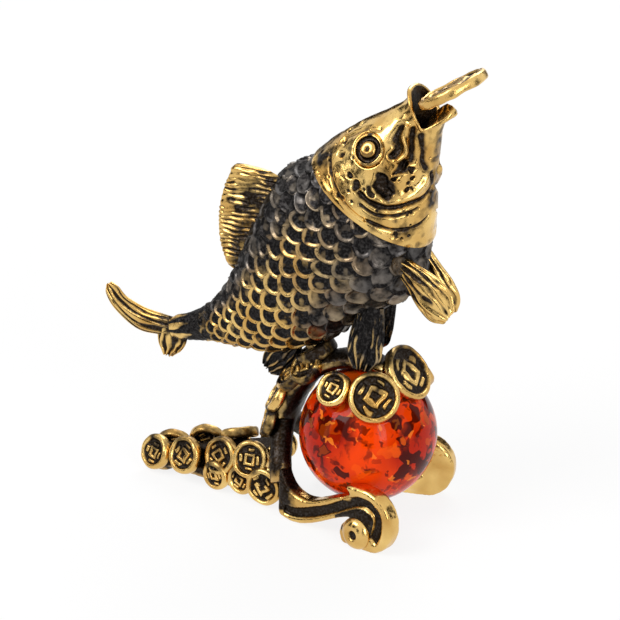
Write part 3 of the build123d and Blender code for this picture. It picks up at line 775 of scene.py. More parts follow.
def build_body():
    """Body from the tail root to under the head, with rows of scales down each flank."""
    lengths = np.linspace(0, neck_length + head_length * under_head_share, body_grid[0])
    length, turn = np.meshgrid(lengths, ring_turns(body_grid[1]), indexing="ij")
    across = np.sin(turn)
    tucked = neck_tuck * ease(*neck_tuck_levels, length) + tail_tuck * ease(*tail_tuck_levels, length) ** 2
    full_belly = belly_swell * ease(*full_belly_levels, across) * bell(length - belly_place, belly_reach)
    fit_lengths = np.linspace(*body_fit_ends, fit_rows)
    shares = solid_shares("fish_body", fit_lengths, no_growth, body_fit_smoothing)
    skin = fitted(fish_surface(length, turn, full_belly - tucked), length, turn, fit_lengths, shares)
    columns = np.broadcast_to(scale_columns(lengths)[:, None], length.shape)
    rows = flank_run(skin, turn) / scale_width(lengths)[:, None]
    height, rim, tail_side, tone = scale_relief(columns, rows)
    scaled = ease(*scaled_levels, length)
    relief = scaled * (height - scale_sink) + bumps(skin, *body_bumps)
    points = skin + surface_normals(skin) * relief[..., None]
    belly = ease(*belly_levels, across) * ease(*belly_length_levels, length)
    gilt = body_gilt(skin, length, across, belly, tone)
    shine = patches(skin, shine_patch)
    # Painted grey sheen on the scale faces of the belly and the back, fading to painted shade on the edge of
    # each scale that tucks under the next
    grey_sheen_zone = np.maximum(belly, layer(grey_sheen_back, across))
    grey_sheen_face = mix(*grey_sheen_tones, tone) * ease(*tucked_edge_shade_levels, tail_side)
    grey_sheen_face = grey_sheen_face * mix(grey_shine_share, 1, shine)
    face = mix(brown_face_shine * shine, grey_sheen_face, grey_sheen_zone)
    broken = ease(*broken_levels, soft_noise(skin, *broken_lumps) + broken_gold * gilt)
    bright_rim = rim * ease(*rim_tail_side_levels, tail_side) * mix(rim_shine_share, 1, gilt) * broken
    sheet = np.stack([length * streak_steps[0], turn * streak_steps[1], 0 * turn], -1)
    streaks = soft_noise(sheet, *streak_lumps)
    plain = ease(*streak_levels, streaks) * ease(*streak_flank_levels, across) + plain_shine * shine
    plain = plain + layer(tail_shine, length) * ease(*tail_streak_levels, streaks)
    wear_and_shade = mix(plain, bright_rim + face * (1 - rim), scaled)
    make_piece("fish_scales", points, scale_brass, wear_and_shade, gilt, ["fish_body"])


# Head
# Each row: share of the head's length from the gill edge, turn in degrees above the middle of the flank
nostril_ridge_shares = [(0.77, 2), (0.70, -5), (0.65, -18), (0.60, -22), (0.54, -18)]
nostril_front_groove_shares = [(0.78, -11), (0.71, -20), (0.65, -29), (0.58, -36)]
nostril_rear_groove_shares = [(0.74, 13), (0.66, 6), (0.61, -9), (0.55, -8)]
cheek_ridge_shares = [(0.22, -8), (0.25, -25), (0.33, -44), (0.42, -61), (0.51, -71)]
cheek_groove_shares = [(0.19, 2), (0.19, -12), (0.22, -29), (0.29, -48), (0.34, -66), (0.40, -80)]
plate_groove_shares = [(0.13, -5), (0.13, -18), (0.17, -32), (0.23, -48), (0.28, -62)]
edge_groove_shares = [(0.20, 54), (0.13, 33), (0.07, 12), (0.05, -6), (0.07, -20), (0.09, -38), (0.15, -60),
                      (0.22, -80)]
jaw_groove_shares = [(0.76, -34), (0.66, -50), (0.58, -58), (0.50, -80)]
brow_groove_shares = [(0.34, 62), (0.44, 58), (0.54, 52), (0.62, 36)]
# Each row: line of a groove, its width, its depth
head_grooves = [(nostril_front_groove_shares, 0.34, 0.34), (nostril_rear_groove_shares, 0.38, 0.40),
                (cheek_groove_shares, 0.30, 0.42), (plate_groove_shares, 0.17, 0.24),
                (edge_groove_shares, 0.16, 0.22), (jaw_groove_shares, 0.30, 0.30),
                (brow_groove_shares, 0.22, 0.16)]
# Each row: line of a ridge, its width, its height
head_ridges = [(nostril_ridge_shares, 0.28, 0.42), (cheek_ridge_shares, 0.45, 0.30)]
# Each row: share of the head's length, turn above the flank, radius of a pit
pit_shares = [(0.33, 55, 0.34), (0.29, 42, 0.36), (0.22, 7, 0.36), (0.26, -5, 0.38), (0.40, 72, 0.30),
              (0.47, -44, 0.26), (0.52, -41, 0.26), (0.38, -43, 0.30), (0.43, -28, 0.26), (0.24, 17, 0.32),
              (0.34, -19, 0.95), (0.36, -12, 0.60), (0.51, -26, 0.62), (0.53, -31, 0.45), (0.31, -20, 0.55)]
pit_depth = 0.30
pit_stray = (0.75, 0.8, (71, 72))
# Small pits strewn over the head
small_pit_count = 46
small_pit_seed = 11
small_pit_length_shares = (0.03, 0.62)
small_pit_turns = (-75, 85)
small_pit_radii = (0.10, 0.22)
small_pit_depth = 0.14
small_pit_shade = 0.75
usual_head_radius = 4.4
pit_steepness = 4
# Each row: turn above the flank, share of the head's length where the lip ends
lip_end_shares = np.array([(-90, 0.965), (-75, 0.945), (-60, 0.89), (-45, 0.83), (-29, 0.785), (-14, 0.815),
                           (12, 0.87), (40, 0.92), (65, 0.945), (90, 0.95)])
# Each row: share of the roll outwards, forwards, and added on the thick lower lip, and its wear
lip_roll_shares = [(0.35, 0.10, 0.00, 0.7), (0.85, 0.40, 0.00, 1.0), (1.00, 0.85, -0.10, 1.0),
                   (0.75, 1.20, -0.30, 1.0), (0.20, 1.30, -0.70, 0.8), (-0.30, 0.95, -1.10, 0.3),
                   (-0.60, 0.20, -1.20, 0.0)]
mouth_radius_shares = (0.74, 0.62, 0.46, 0.24, 0.02)
# Each row: share of the tuck under the gill edge, and its wear
gill_tuck_shares = [(1.0, 0.0), (0.55, 0.2), (0.15, 0.8)]

# Levels of the head's shades, by depth, by share of its length and by turn above the flank
groove_shade_levels = (0.1, 0.3)
proud_shine = 0.8
eye_socket_levels = (1.72, 1.35)
crown_shade = (0.66, 0.45, 0.10)
crown_turn_levels = np.radians((35, 70))
throat_shade = (0.48, 0.15, 0.35)
throat_turn_levels = np.radians((-62, -82))
gill_lift_levels = (0.34, 0.02)
gill_back_share = 0.25
head_fit_ends = (neck_length + 0.5, fish_length - 2.2)
head_fit_smoothing = 5
head_bumps = [(0.10, 1.3, 2), (0.05, 0.5, 4)]
head_shine = 0.98
shade_strength = 0.95
smudge_patch = (0.26, 0.7, 9, 0.54, 0.78)
stain_patch = (0.30, 1.7, 10, 0.52, 0.75)
stain_length_levels = (0.62, 0.30)
lower_lip_levels = (-0.50, -0.90)
lower_lip_wear = 0.95
curve_steps_per_row = 8


def head_flat(share, flank, radius):
    """Place on the head laid flat: millimetres forwards and millimetres up round the flank."""
    return np.stack([share * head_length, flank * radius], -1)


def head_radius(share):
    """Mean radius of the head at a share of its length."""
    section = fish_section(neck_length + np.asarray(share) * head_length)
    return (section[3] + section[4]) / 2


def line_distance(flat, rows):
    """Distance on the flat head to a line through rows of shares and turns."""
    rows = np.array(rows, float)
    corners = head_flat(rows[:, 0], np.radians(rows[:, 1]), head_radius(rows[:, 0]))
    curve = finer(corners, curve_steps_per_row * len(corners))
    nearest = np.full(flat.shape[:-1], np.inf)
    for start, end in zip(curve[:-1], curve[1:]):
        along = end - start
        share = np.clip(((flat - start) @ along) / (along @ along), 0, 1)
        nearest = np.minimum(nearest, np.linalg.norm(flat - start - share[..., None] * along, axis=-1))
    return nearest


def in_pit(flat, share, turn, head_size, radius):
    """1 in a steep pit of the flat head and 0 outside it."""
    middle = head_flat(share, math.radians(turn), head_size)
    return bell(np.linalg.norm(flat - middle, axis=-1), radius, pit_steepness)


def head_relief(share, flank):
    """Height and shade of the head's ridges, folds and pits."""
    flat = head_flat(share, flank, head_radius(share))
    height = np.zeros(share.shape)
    shade = np.zeros(share.shape)
    for rows, width, depth in head_grooves:
        near = bell(line_distance(flat, rows), width)
        height = height - depth * near
        shade = np.maximum(shade, near * ease(*groove_shade_levels, depth))
    for rows, width, lift in head_ridges:
        near = bell(line_distance(flat, rows), width)
        height = height + lift * near
        shade = shade * (1 - proud_shine * near)
    sheet = np.concatenate([flat, np.zeros((*share.shape, 1))], -1)
    ragged = flat + stray(sheet, *pit_stray)
    for place, turn, radius in pit_shares:
        near = in_pit(ragged, place, turn, head_radius(place), radius)
        height = height - pit_depth * near
        shade = np.maximum(shade, near)
    chance = np.random.default_rng(small_pit_seed)
    for _ in range(small_pit_count):
        place = chance.uniform(*small_pit_length_shares)
        turn = chance.uniform(*small_pit_turns)
        near = in_pit(flat, place, turn, usual_head_radius, chance.uniform(*small_pit_radii))
        height = height - small_pit_depth * near
        shade = np.maximum(shade, small_pit_shade * near)
    socket = head_flat(eye_share, math.radians(eye_turn), head_radius(eye_share))
    inside = ease(*eye_socket_levels, np.linalg.norm(flat - socket, axis=-1))
    height = height * (1 - inside) - eye_socket_depth * inside
    crown = layer(crown_shade, share) * ease(*crown_turn_levels, flank)
    throat = layer(throat_shade, share) * ease(*throat_turn_levels, flank)
    shade = np.maximum(shade, np.maximum(crown, throat))
    rim = bell(share * head_length - gill_rim_place, gill_rim_width)
    return height + gill_rim_height * rim, shade * (1 - proud_shine * rim)


def gill_growth(length, turn):
    """How far the gill cover stands out from the neck, most on the flanks."""
    share = (length - neck_length) / head_length
    return gill_lift * ease(*gill_lift_levels, share) * mix(gill_back_share, 1, np.cos(turn) ** 2)


def rolled_lip(edge, outward, forward, turns):
    """Rows of points and wear of the lip, rolled out from the edge of the head and in again."""
    lower = ease(*lower_lip_levels, np.sin(turns))
    size = lip_roll * (1 + lower_lip_growth * lower)
    rows = [edge + outward * (size * (out + more * lower))[:, None] + forward * (size * front)[:, None]
            for out, front, more, _ in lip_roll_shares]
    wear_and_shade = [np.maximum(row[3], lower_lip_wear * lower) for row in lip_roll_shares]
    return rows, wear_and_shade


def build_head():
    """Head from the gill edge to the rolled lips and into the mouth."""
    rows, columns = head_grid
    turns = ring_turns(columns)
    flank_row = np.arcsin(np.clip(np.sin(turns), -1, 1))
    end_row = through(lip_end_shares[:, 0], lip_end_shares[:, 1], np.degrees(flank_row))
    share = np.linspace(0, 1, rows)[:, None] * end_row[None, :]
    turn = np.broadcast_to(turns, share.shape)
    length = neck_length + share * head_length
    fit_lengths = np.linspace(*head_fit_ends, fit_rows)
    shares = solid_shares("fish_head", fit_lengths, gill_growth, head_fit_smoothing)
    skin = fish_surface(length, turn, gill_growth(length, turn))
    skin = fitted(skin, length, turn, fit_lengths, shares)
    normals = surface_normals(skin)
    height, shade = head_relief(share, np.broadcast_to(flank_row, share.shape))
    points = skin + normals * (height + bumps(skin, *head_bumps))[..., None]
    wear_and_shade = head_shine - shade_strength * shade - patches(skin, smudge_patch)
    wear_and_shade = wear_and_shade - patches(skin, stain_patch) * ease(*stain_length_levels, share)
    tuck = [points[0] - normals[0] * gill_tuck_depth * deep for deep, _ in gill_tuck_shares]
    tuck_wear = [np.full(columns, worn) for _, worn in gill_tuck_shares]
    forward = heading(np.degrees(fish_section(length[-1])[2]))
    lip, lip_wear = rolled_lip(points[-1], normals[-1], forward, turns)
    throat = points[-1].mean(axis=0) - heading(mouth_lean) * mouth_depth
    mouth = [throat + (lip[-1] - throat) * radius for radius in mouth_radius_shares]
    mouth_wear = [np.zeros(columns)] * len(mouth)
    everything = np.concatenate([np.stack(tuck), points, np.stack(lip + mouth)])
    all_wear = np.concatenate([np.stack(tuck_wear), wear_and_shade, np.stack(lip_wear + mouth_wear)])
    make_piece("fish_face", everything, polished_brass, all_wear, 1.0, ["fish_head"])


# Eyes and knobs, turned about an axis
# Each row: radius, height and wear of an eye, from its outer ring to the pupil
eye_profile = np.array([(1.72, -0.50, 0.9), (1.64, -0.10, 1.0), (1.54, 0.06, 1.0), (1.42, 0.12, 1.0),
                        (1.33, 0.06, 0.6), (1.25, -0.14, 0.0), (1.02, -0.20, 0.0), (0.88, -0.08, 0.1),
                        (0.80, 0.16, 0.9), (0.62, 0.30, 1.0), (0.42, 0.34, 1.0), (0.26, 0.31, 0.9),
                        (0.16, 0.22, 0.2), (0.0, 0.20, 0.0)])
# Each row: radius, height and wear of a knob, from its edge to the dimple in it
knob_profile = np.array([(1.36, -1.40, 1.0), (1.60, -1.20, 1.0), (1.70, -0.60, 1.0), (1.70, 0.00, 1.0),
                         (1.62, 0.32, 1.0), (1.36, 0.62, 1.0), (1.00, 0.82, 1.0), (0.68, 0.86, 1.0),
                         (0.48, 0.76, 0.7), (0.34, 0.58, 0.1), (0.18, 0.50, 0.0), (0.001, 0.48, 0.0)])
eye_rows = 60
knob_rows = 50
least_radius = 0.001
eye_sway = 0.12
eye_stain = 0.55
knob_sway = 0.10
sway_lumps = (0.6, 7)
ring_stain = (0.7, 37, 0.45, 0.70)
skin_step = 0.5
skin_turn_step = 0.1
# A direction that no turned piece and no coin faces, to count their turns from
turn_mark = heading(17) + left_side * 0.3


def face_axes(facing):
    """Two directions square to a facing and to each other."""
    first = unit(np.cross(facing, turn_mark))
    return first, np.cross(facing, first)


def turned(name, profile, middle, facing, sway, stain):
    """Piece turned about an axis from rows of radius, height and wear, a little wavy and stained."""
    facing = unit(facing)
    first, second = face_axes(facing)
    angle = ring_turns(turned_columns)
    ring = np.cos(angle)[:, None] * first + np.sin(angle)[:, None] * second
    points = middle + profile[:, 0, None, None] * ring + profile[:, 1, None, None] * facing
    points = points + bumps(points, (sway, *sway_lumps))[..., None] * facing
    wear_and_shade = profile[:, 2, None] * (1 - patches(points, (stain, *ring_stain)))
    make_piece(name, points, polished_brass, wear_and_shade, 1.0, [])


def build_eyes():
    """A ringed eye with a domed pupil on each side of the head."""
    profile = finer(eye_profile, eye_rows)
    profile[-1, 0] = least_radius
    length = np.array(neck_length + eye_share * head_length)
    for label, turn in (("left", math.radians(eye_turn)), ("right", math.pi - math.radians(eye_turn))):
        middle = fish_surface(length, turn)
        ahead = fish_surface(length + skin_step, turn) - middle
        above = fish_surface(length, turn + skin_turn_step) - middle
        facing = unit(np.cross(above, ahead))
        turned("eye_" + label, profile, middle + facing * eye_stand, facing, eye_sway, eye_stain)


def build_knobs():
    """Domed knob in the curl of each scroll."""
    profile = finer(knob_profile, knob_rows)
    splay = math.radians(scroll_splay)
    for label, side, ahead in (("right", -1, knob_ahead), ("left", 1, knob_ahead - left_scroll_setback)):
        facing = np.array([-math.sin(splay), side * math.cos(splay), 0.0])
        middle = np.array([ahead, side * knob_out, knob_height])
        turned("scroll_knob_" + label, profile, middle, facing, knob_sway, 0.0)


# Fins
# Each row: share of the length, share of the width, share of the thickness, share of the bend
paddle_section_shares = np.array([(0.00, 0.42, 1.15, 0.00), (0.30, 0.72, 1.00, 0.10),
                                  (0.62, 1.00, 0.85, 0.40), (0.88, 0.86, 0.65, 0.80),
                                  (1.00, 0.50, 0.40, 1.00)])
pelvic_section_shares = np.array([(0.00, 0.80, 1.15, 0.00), (0.30, 1.00, 1.00, 0.10),
                                  (0.62, 1.12, 0.85, 0.40), (0.88, 0.98, 0.65, 0.80),
                                  (1.00, 0.60, 0.40, 1.00)])
# Each row: share of the run, share of the rise, share of the body's half width
pectoral_root_shares = (0.920, 0.437, 0.40)
pelvic_root_shares = (0.800, 0.254, 0.28)
anal_root_shares = (0.492, 0.030, 0)
dorsal_front_shares = (0.405, 0.632, 0)
# Sizes of a kind of fin: root shares, length, width, rays, sections, whether it is golden
pectoral_kind = (pectoral_root_shares, pectoral_length, pectoral_width, 6, paddle_section_shares, True)
pelvic_kind = (pelvic_root_shares, pelvic_length, pelvic_width, 7, pelvic_section_shares, False)
anal_kind = (anal_root_shares, anal_length, anal_width, 6, paddle_section_shares, False)
anal_lean = -137
# Each row: node, kind, side, lean above the table, turn outwards, bend
paddles = [("pectoral_fin_right", pectoral_kind, -1, -34, 8, -left_side * pectoral_bend),
           ("pectoral_fin_left", pectoral_kind, 1, -66, 0, left_side * pectoral_bend),
           ("pelvic_fin_right", pelvic_kind, -1, -94, 7, -left_side * pelvic_bend),
           ("pelvic_fin_left", pelvic_kind, 1, -108, 4, left_side * pelvic_bend),
           ("anal_fin", anal_kind, 1, anal_lean, 0, heading(anal_lean) * anal_bend)]
dorsal_lean = 246
tail_rays = 5
dorsal_rays = 19
# Each row: reach of a waver in the rays, its radians along the blade and its radians across
ray_wavers = [(0.06, 7, 5), (0.04, 15, -9)]
ray_swell = 1.35
blade_edge_levels = (1.0, 0.8)
blade_face_levels = (0.0, 0.25)
ragged_levels = (0.75, 1.0)
# Each pair: how far the rays stand past the end, and their share of the full height at the root
golden_ray_ends = (0.10, 0.95)
dark_ray_ends = (0.25, 0.35)
tail_ray_ends = (0.15, 0.35)
fin_lumps = (0.8, 31)


def fin_root(root_shares, side):
    """Root of a fin on one side of the fish."""
    run_share, rise_share, side_share = root_shares
    aside = side * body_width / 2 * side_share
    return tail_root + np.array([fish_run * run_share, aside, fish_rise * rise_share])


def fin_way(lean, turn, side):
    """Direction of a fin from its lean in the middle plane and its turn outwards."""
    angle = math.radians(turn)
    return unit(heading(lean) * math.cos(angle) + left_side * side * math.sin(angle))


def ribbed_blade(middles, way, wide_way, thick_way, half_wide, half_thick, rays, ray_ends):
    """Points, ray crests and shares along of a closed blade of flat oval sections with a ragged end."""
    end_reach, root_ray = ray_ends
    ways = (np.broadcast_to(each, middles.shape)[:, None] for each in (way, wide_way, thick_way))
    way, wide_way, thick_way = ways
    angle = ring_turns(blade_columns)
    across = np.cos(angle)
    through_way = np.sin(angle)
    along = np.linspace(0, 1, len(middles))[:, None]
    waver = sum(reach * np.sin(long * along + wide * across) for reach, long, wide in ray_wavers)
    ray = np.cos(2 * rays * np.arcsin(np.clip(across + waver, -1, 1)))
    on_face = ease(*blade_edge_levels, np.abs(across))
    relief = ray_height * ray * on_face * (root_ray + (ray_swell - 2 * root_ray) * along)
    relief = np.sign(through_way) * relief * ease(*blade_face_levels, np.abs(through_way))
    thick = through_way * half_thick[:, None] + relief
    wide = across * half_wide[:, None]
    ragged = end_reach * (0.5 + 0.5 * ray) * ease(*ragged_levels, along)
    points = middles[:, None] + wide[..., None] * wide_way + thick[..., None] * thick_way
    points = points + ragged[..., None] * way
    tip = np.repeat(points[-1:].mean(axis=1, keepdims=True), blade_columns, axis=1)
    points = np.concatenate([points, (points[-1:] + tip) / 2, tip])
    crest = 0.5 + 0.5 * ray * on_face + 0.5 * (1 - on_face)
    crest = np.concatenate([crest, crest[-1:], crest[-1:]])
    along = np.concatenate([along, along[-1:], along[-1:]])
    return points, crest, along


# Wear of the golden fins
golden_ground = 0.05
golden_crest = 0.72
golden_tip = (0.58, 0.45, 0.80)
golden_root_shade = (0.40, 0.55, 0.0)
golden_stain = (0.35, 0.55, 0.8)

# Wear of the dark fins
dark_crest = (0.70, 0.60, 0.97)
dark_root = (0.40, 0.2, 0.8)
dark_patch_levels = (0.25, 0.55)
dark_patch_wear = 0.15
dark_ground_gilt = 0.15
dark_patch_gilt = (0.55, 0.3, 0.8)


def golden_fin(crest, along, patch):
    """Wear and gilt of a fin that is gold all over, with dark streaks near the root."""
    wear_and_shade = golden_ground + golden_crest * crest + layer(golden_tip, along)
    wear_and_shade = wear_and_shade - layer(golden_root_shade, along) * (1 - crest)
    return wear_and_shade - layer(golden_stain, patch), 1.0


def dark_fin(crest, along, patch):
    """Wear and gilt of a dark fin, with gold along the rays towards the tip."""
    wear_and_shade = layer(dark_crest, crest) * dimmer(dark_root, along) * ease(*dark_patch_levels, patch)
    return wear_and_shade + dark_patch_wear * patch, dark_ground_gilt + layer(dark_patch_gilt, patch)


def build_paddle(node, kind, side, lean, turn, bend):
    """Paddle fin, bent to one side, with rays that spread towards its tip."""
    root_shares, length, width, rays, sections, golden = kind
    look = golden_fin if golden else dark_fin
    material = polished_brass if golden else scale_brass
    ray_ends = golden_ray_ends if golden else dark_ray_ends
    way = fin_way(lean, turn, side)
    share = np.linspace(0, 1, paddle_rows)
    rows = through(sections[:, 0], sections[:, 1:], share)
    middles = fin_root(root_shares, side) + way * (length * share)[:, None] + bend * rows[:, 2:3]
    thick_way = unit(np.cross(way, upright(lean)))
    points, crest, along = ribbed_blade(middles, way, upright(lean), thick_way, width * rows[:, 0] / 2,
                                        paddle_thickness * rows[:, 1] / 2, rays, ray_ends)
    wear_and_shade, gilt = look(crest, along, soft_noise(points, *fin_lumps))
    make_piece(node + "_blade", points, material, wear_and_shade, gilt, [node])


# Dorsal fin
# Each row: share of the length back from the front root, share of the height
dorsal_outline_shares = np.array([(0.00, 0.10), (0.05, 0.50), (0.12, 0.93), (0.24, 1.00), (0.40, 0.98),
                                  (0.65, 0.80), (0.86, 0.47), (1.00, 0.10)])
dorsal_ray_lean_share = 0.19
# Radians that the rays stray by
dorsal_ray_bumps = (5.0, 1.1, 43)
dorsal_ray_sway = 2.0
dorsal_ray_sway_waves = 9
dorsal_faint_ray_share = 0.35
dorsal_ray_patch = (0.65, 0.9, 44, 0.30, 0.60)
dorsal_edge_power = 6
dorsal_end_power = 12
dorsal_thinning_share = 0.35
dorsal_ray_thickness_share = 0.22
dorsal_ray_rise = (0.10, 0.9, 1.0)
dorsal_crest_power = 2.2
dorsal_ground = 0.12
dorsal_crest = 0.62
dorsal_root_share = 0.45
dorsal_high = 0.22
dorsal_high_levels = (0.15, 0.70)
dorsal_stain_patch = (0.36, 0.9, 41, 0.50, 0.74)
dorsal_edge_wear = (0.35, 0.55, 0.95)


def build_dorsal():
    """Dorsal fin with fine rays up to its worn edge."""
    share = np.linspace(0, 1, dorsal_columns)
    top = through(dorsal_outline_shares[:, 0], dorsal_outline_shares[:, 1], share) * dorsal_height
    way = heading(dorsal_lean)
    up = np.cross(left_side, way)
    climb = np.concatenate([np.linspace(0, 1, dorsal_levels), np.linspace(1, 0, dorsal_levels)])
    face = np.repeat([-1.0, 1.0], dorsal_levels)
    level = -dorsal_root_depth + (top[:, None] + dorsal_root_depth) * np.sin(climb * np.pi / 2)
    slanted = share[:, None] - dorsal_ray_lean_share * level / dorsal_height
    sheet = np.stack([dorsal_length * slanted, level, 0 * level], -1)
    wander = bumps(sheet, dorsal_ray_bumps) + dorsal_ray_sway * np.sin(dorsal_ray_sway_waves * share)[:, None]
    ray = np.cos(whole_turn * dorsal_rays * slanted + wander)
    ray = ray * (dorsal_faint_ray_share + patches(sheet, dorsal_ray_patch))
    edge = np.sqrt(np.clip(1 - climb ** dorsal_edge_power, 0, 1))
    ends = np.sqrt(np.clip(1 - (2 * share - 1) ** dorsal_end_power, 0, 1))[:, None]
    half = dorsal_thickness / 2 * (1 - dorsal_thinning_share * climb) * edge * ends
    half = half * (1 + dorsal_ray_thickness_share * ray)
    rise = level + ray * layer(dorsal_ray_rise, climb)
    points = fin_root(dorsal_front_shares, 1) + way * (dorsal_length * share)[:, None, None]
    points = points + up * rise[..., None] + left_side * (face * half)[..., None]
    crest = 1 - (0.5 - 0.5 * ray) ** dorsal_crest_power
    high = ease(*dorsal_high_levels, climb)
    wear_and_shade = dorsal_ground + dorsal_crest * crest * mix(dorsal_root_share, 1, high) + dorsal_high * high
    wear_and_shade = wear_and_shade - patches(points, dorsal_stain_patch) + layer(dorsal_edge_wear, climb)
    make_piece("dorsal_fin_blade", points, polished_brass, wear_and_shade, 1.0, ["dorsal_fin"])


# Tail fin
# Each row: share of the reach, share of the rise or drop, lean, share of the width, share of the thickness
upper_lobe_shares = np.array([(-0.14, 0.02, 188, 0.72, 1.00), (0.20, 0.02, 180, 0.90, 1.00),
                              (0.50, 0.08, 162, 1.00, 0.90), (0.80, 0.44, 142, 0.80, 0.75),
                              (0.94, 0.82, 126, 0.66, 0.62), (0.98, 1.00, 116, 0.20, 0.45)])
lower_lobe_shares = np.array([(-0.30, 0.00, 240, 1.12, 1.00), (0.25, 0.40, 250, 1.06, 0.90),
                              (0.70, 0.76, 256, 0.80, 0.75), (1.00, 1.00, 260, 0.36, 0.50)])
tail_ground = 0.05
tail_crest = (0.80, 0.0, 0.35)
tail_tip = (0.20, 0.35, 1.0)


def build_lobe(label, shares, reach, rise, width, nodes):
    """One lobe of the tail, with rays along it."""
    rows = finer(shares, lobe_rows)
    middles = tail_root + np.stack([-reach * rows[:, 0], 0 * rows[:, 0], rise * rows[:, 1]], -1)
    half_thick = tail_lobe_thickness * rows[:, 4] / 2
    points, crest, along = ribbed_blade(middles, heading(rows[:, 2]), upright(rows[:, 2]), left_side,
                                        width * rows[:, 3] / 2, half_thick, tail_rays, tail_ray_ends)
    wear_and_shade = tail_ground + crest * layer(tail_crest, along) + layer(tail_tip, along)
    make_piece(label, points, polished_brass, wear_and_shade, 1.0, nodes)


def build_tail():
    """Both lobes of the tail."""
    build_lobe("tail_upper_lobe", upper_lobe_shares, upper_lobe_reach, upper_lobe_rise, upper_lobe_width,
               ["tail_fin"])
    build_lobe("tail_lower_lobe", lower_lobe_shares, lower_lobe_reach, -lower_lobe_drop, lower_lobe_width, [])


# Coins
coin_seed = 5
# A direction that no coin faces, to lay its outline flat from
outline_mark = heading(31) + left_side * 0.4
outline_rounds = 12
outline_quantile = 0.97
outline_rim_share = 0.93
# Places and levels of the motif, as shares of the radius inside the rim
motif_frame_share = 0.31
motif_line_shares = (0.17, 0.06)
motif_bar_share = 0.70
motif_bar_width_shares = (0.16, 0.06)
motif_bar_length_shares = (0.34, 0.20)
motif_warp = (coin_motif_warp, 0.9, (51, 52))
coin_start_radius = 0.01
coin_row_gap = 0.04
coin_dents = (0.16, 0.8, 13)
coin_out_of_round = (0.16, 1.3, 15)
round_inner_share = 0.5
# Shares of the coins' wear, of their darkening towards the top, and of their brightness by where they lie
coin_ground_wear = 0.02
coin_motif_wear = 0.85
coin_lumps = (0.9, 17)
coin_lump_shares = (0.65, 1.25)
top_darkening = (0.55, 0.2, 0.9)
upright_levels = (0.95, 0.6)
lying_margin = 1.0001
trail_gain = 1.15
trail_lying_loss = (0.5, 0.45, 0.75)
arch_dark_share = 0.35
arch_patch = (0.65, 1.6, 61, 0.35, 0.60)
# Painted shade on the coin that the fish sits on, under its belly
seat_shade_share = 0.25


def coin_seat(node):
    """Middle, facing, radius and thickness of a coin, read from its flat faces and its round edge."""
    points, corners = node_mesh(node)
    first, second, third = (points[corners[:, corner]] for corner in range(3))
    cross = np.cross(second - first, third - first)
    area = np.linalg.norm(cross, axis=1)[:, None]
    normals = cross / np.maximum(area, tiny)
    facing = np.linalg.eigh((normals * area).T @ normals)[1][:, -1]
    side = unit(np.cross(facing, outline_mark))
    rise = np.cross(facing, side)
    flat = np.stack([points @ side, points @ rise], -1)
    middle = (flat.max(axis=0) + flat.min(axis=0)) / 2
    for _ in range(outline_rounds):
        reach = np.linalg.norm(flat - middle, axis=1)
        rim = flat[reach > outline_rim_share * np.quantile(reach, outline_quantile)]
        terms = np.column_stack([2 * rim, np.ones(len(rim))])
        answer = np.linalg.lstsq(terms, (rim ** 2).sum(axis=1), rcond=None)[0]
        middle = answer[:2]
    radius = math.sqrt(answer[2] + middle @ middle)
    depth = points @ facing
    centre = side * middle[0] + rise * middle[1] + facing * (depth.max() + depth.min()) / 2
    return centre, facing, radius, depth.max() - depth.min()


def coin_motif(across, up):
    """Height of a plain square frame with a short bar on each side of it, as a share of the full height."""
    square = np.maximum(np.abs(across), np.abs(up))
    motif = ease(*motif_line_shares, np.abs(square - motif_frame_share))
    for first, second in ((across, up), (up, across)):
        bar = ease(*motif_bar_width_shares, np.abs(np.abs(first) - motif_bar_share))
        motif = np.maximum(motif, bar * ease(*motif_bar_length_shares, np.abs(second)))
    return motif


def coin_light(node, place, lying):
    """Share of a coin's brightness by where it lies, with painted shade on the coin under the fish."""
    if "trail" in node:
        return trail_gain * (1 - layer(trail_lying_loss, lying))
    if "arch" in node:
        return arch_dark_share + patches(place, arch_patch)
    return seat_shade_share if "seat" in node else 1.0


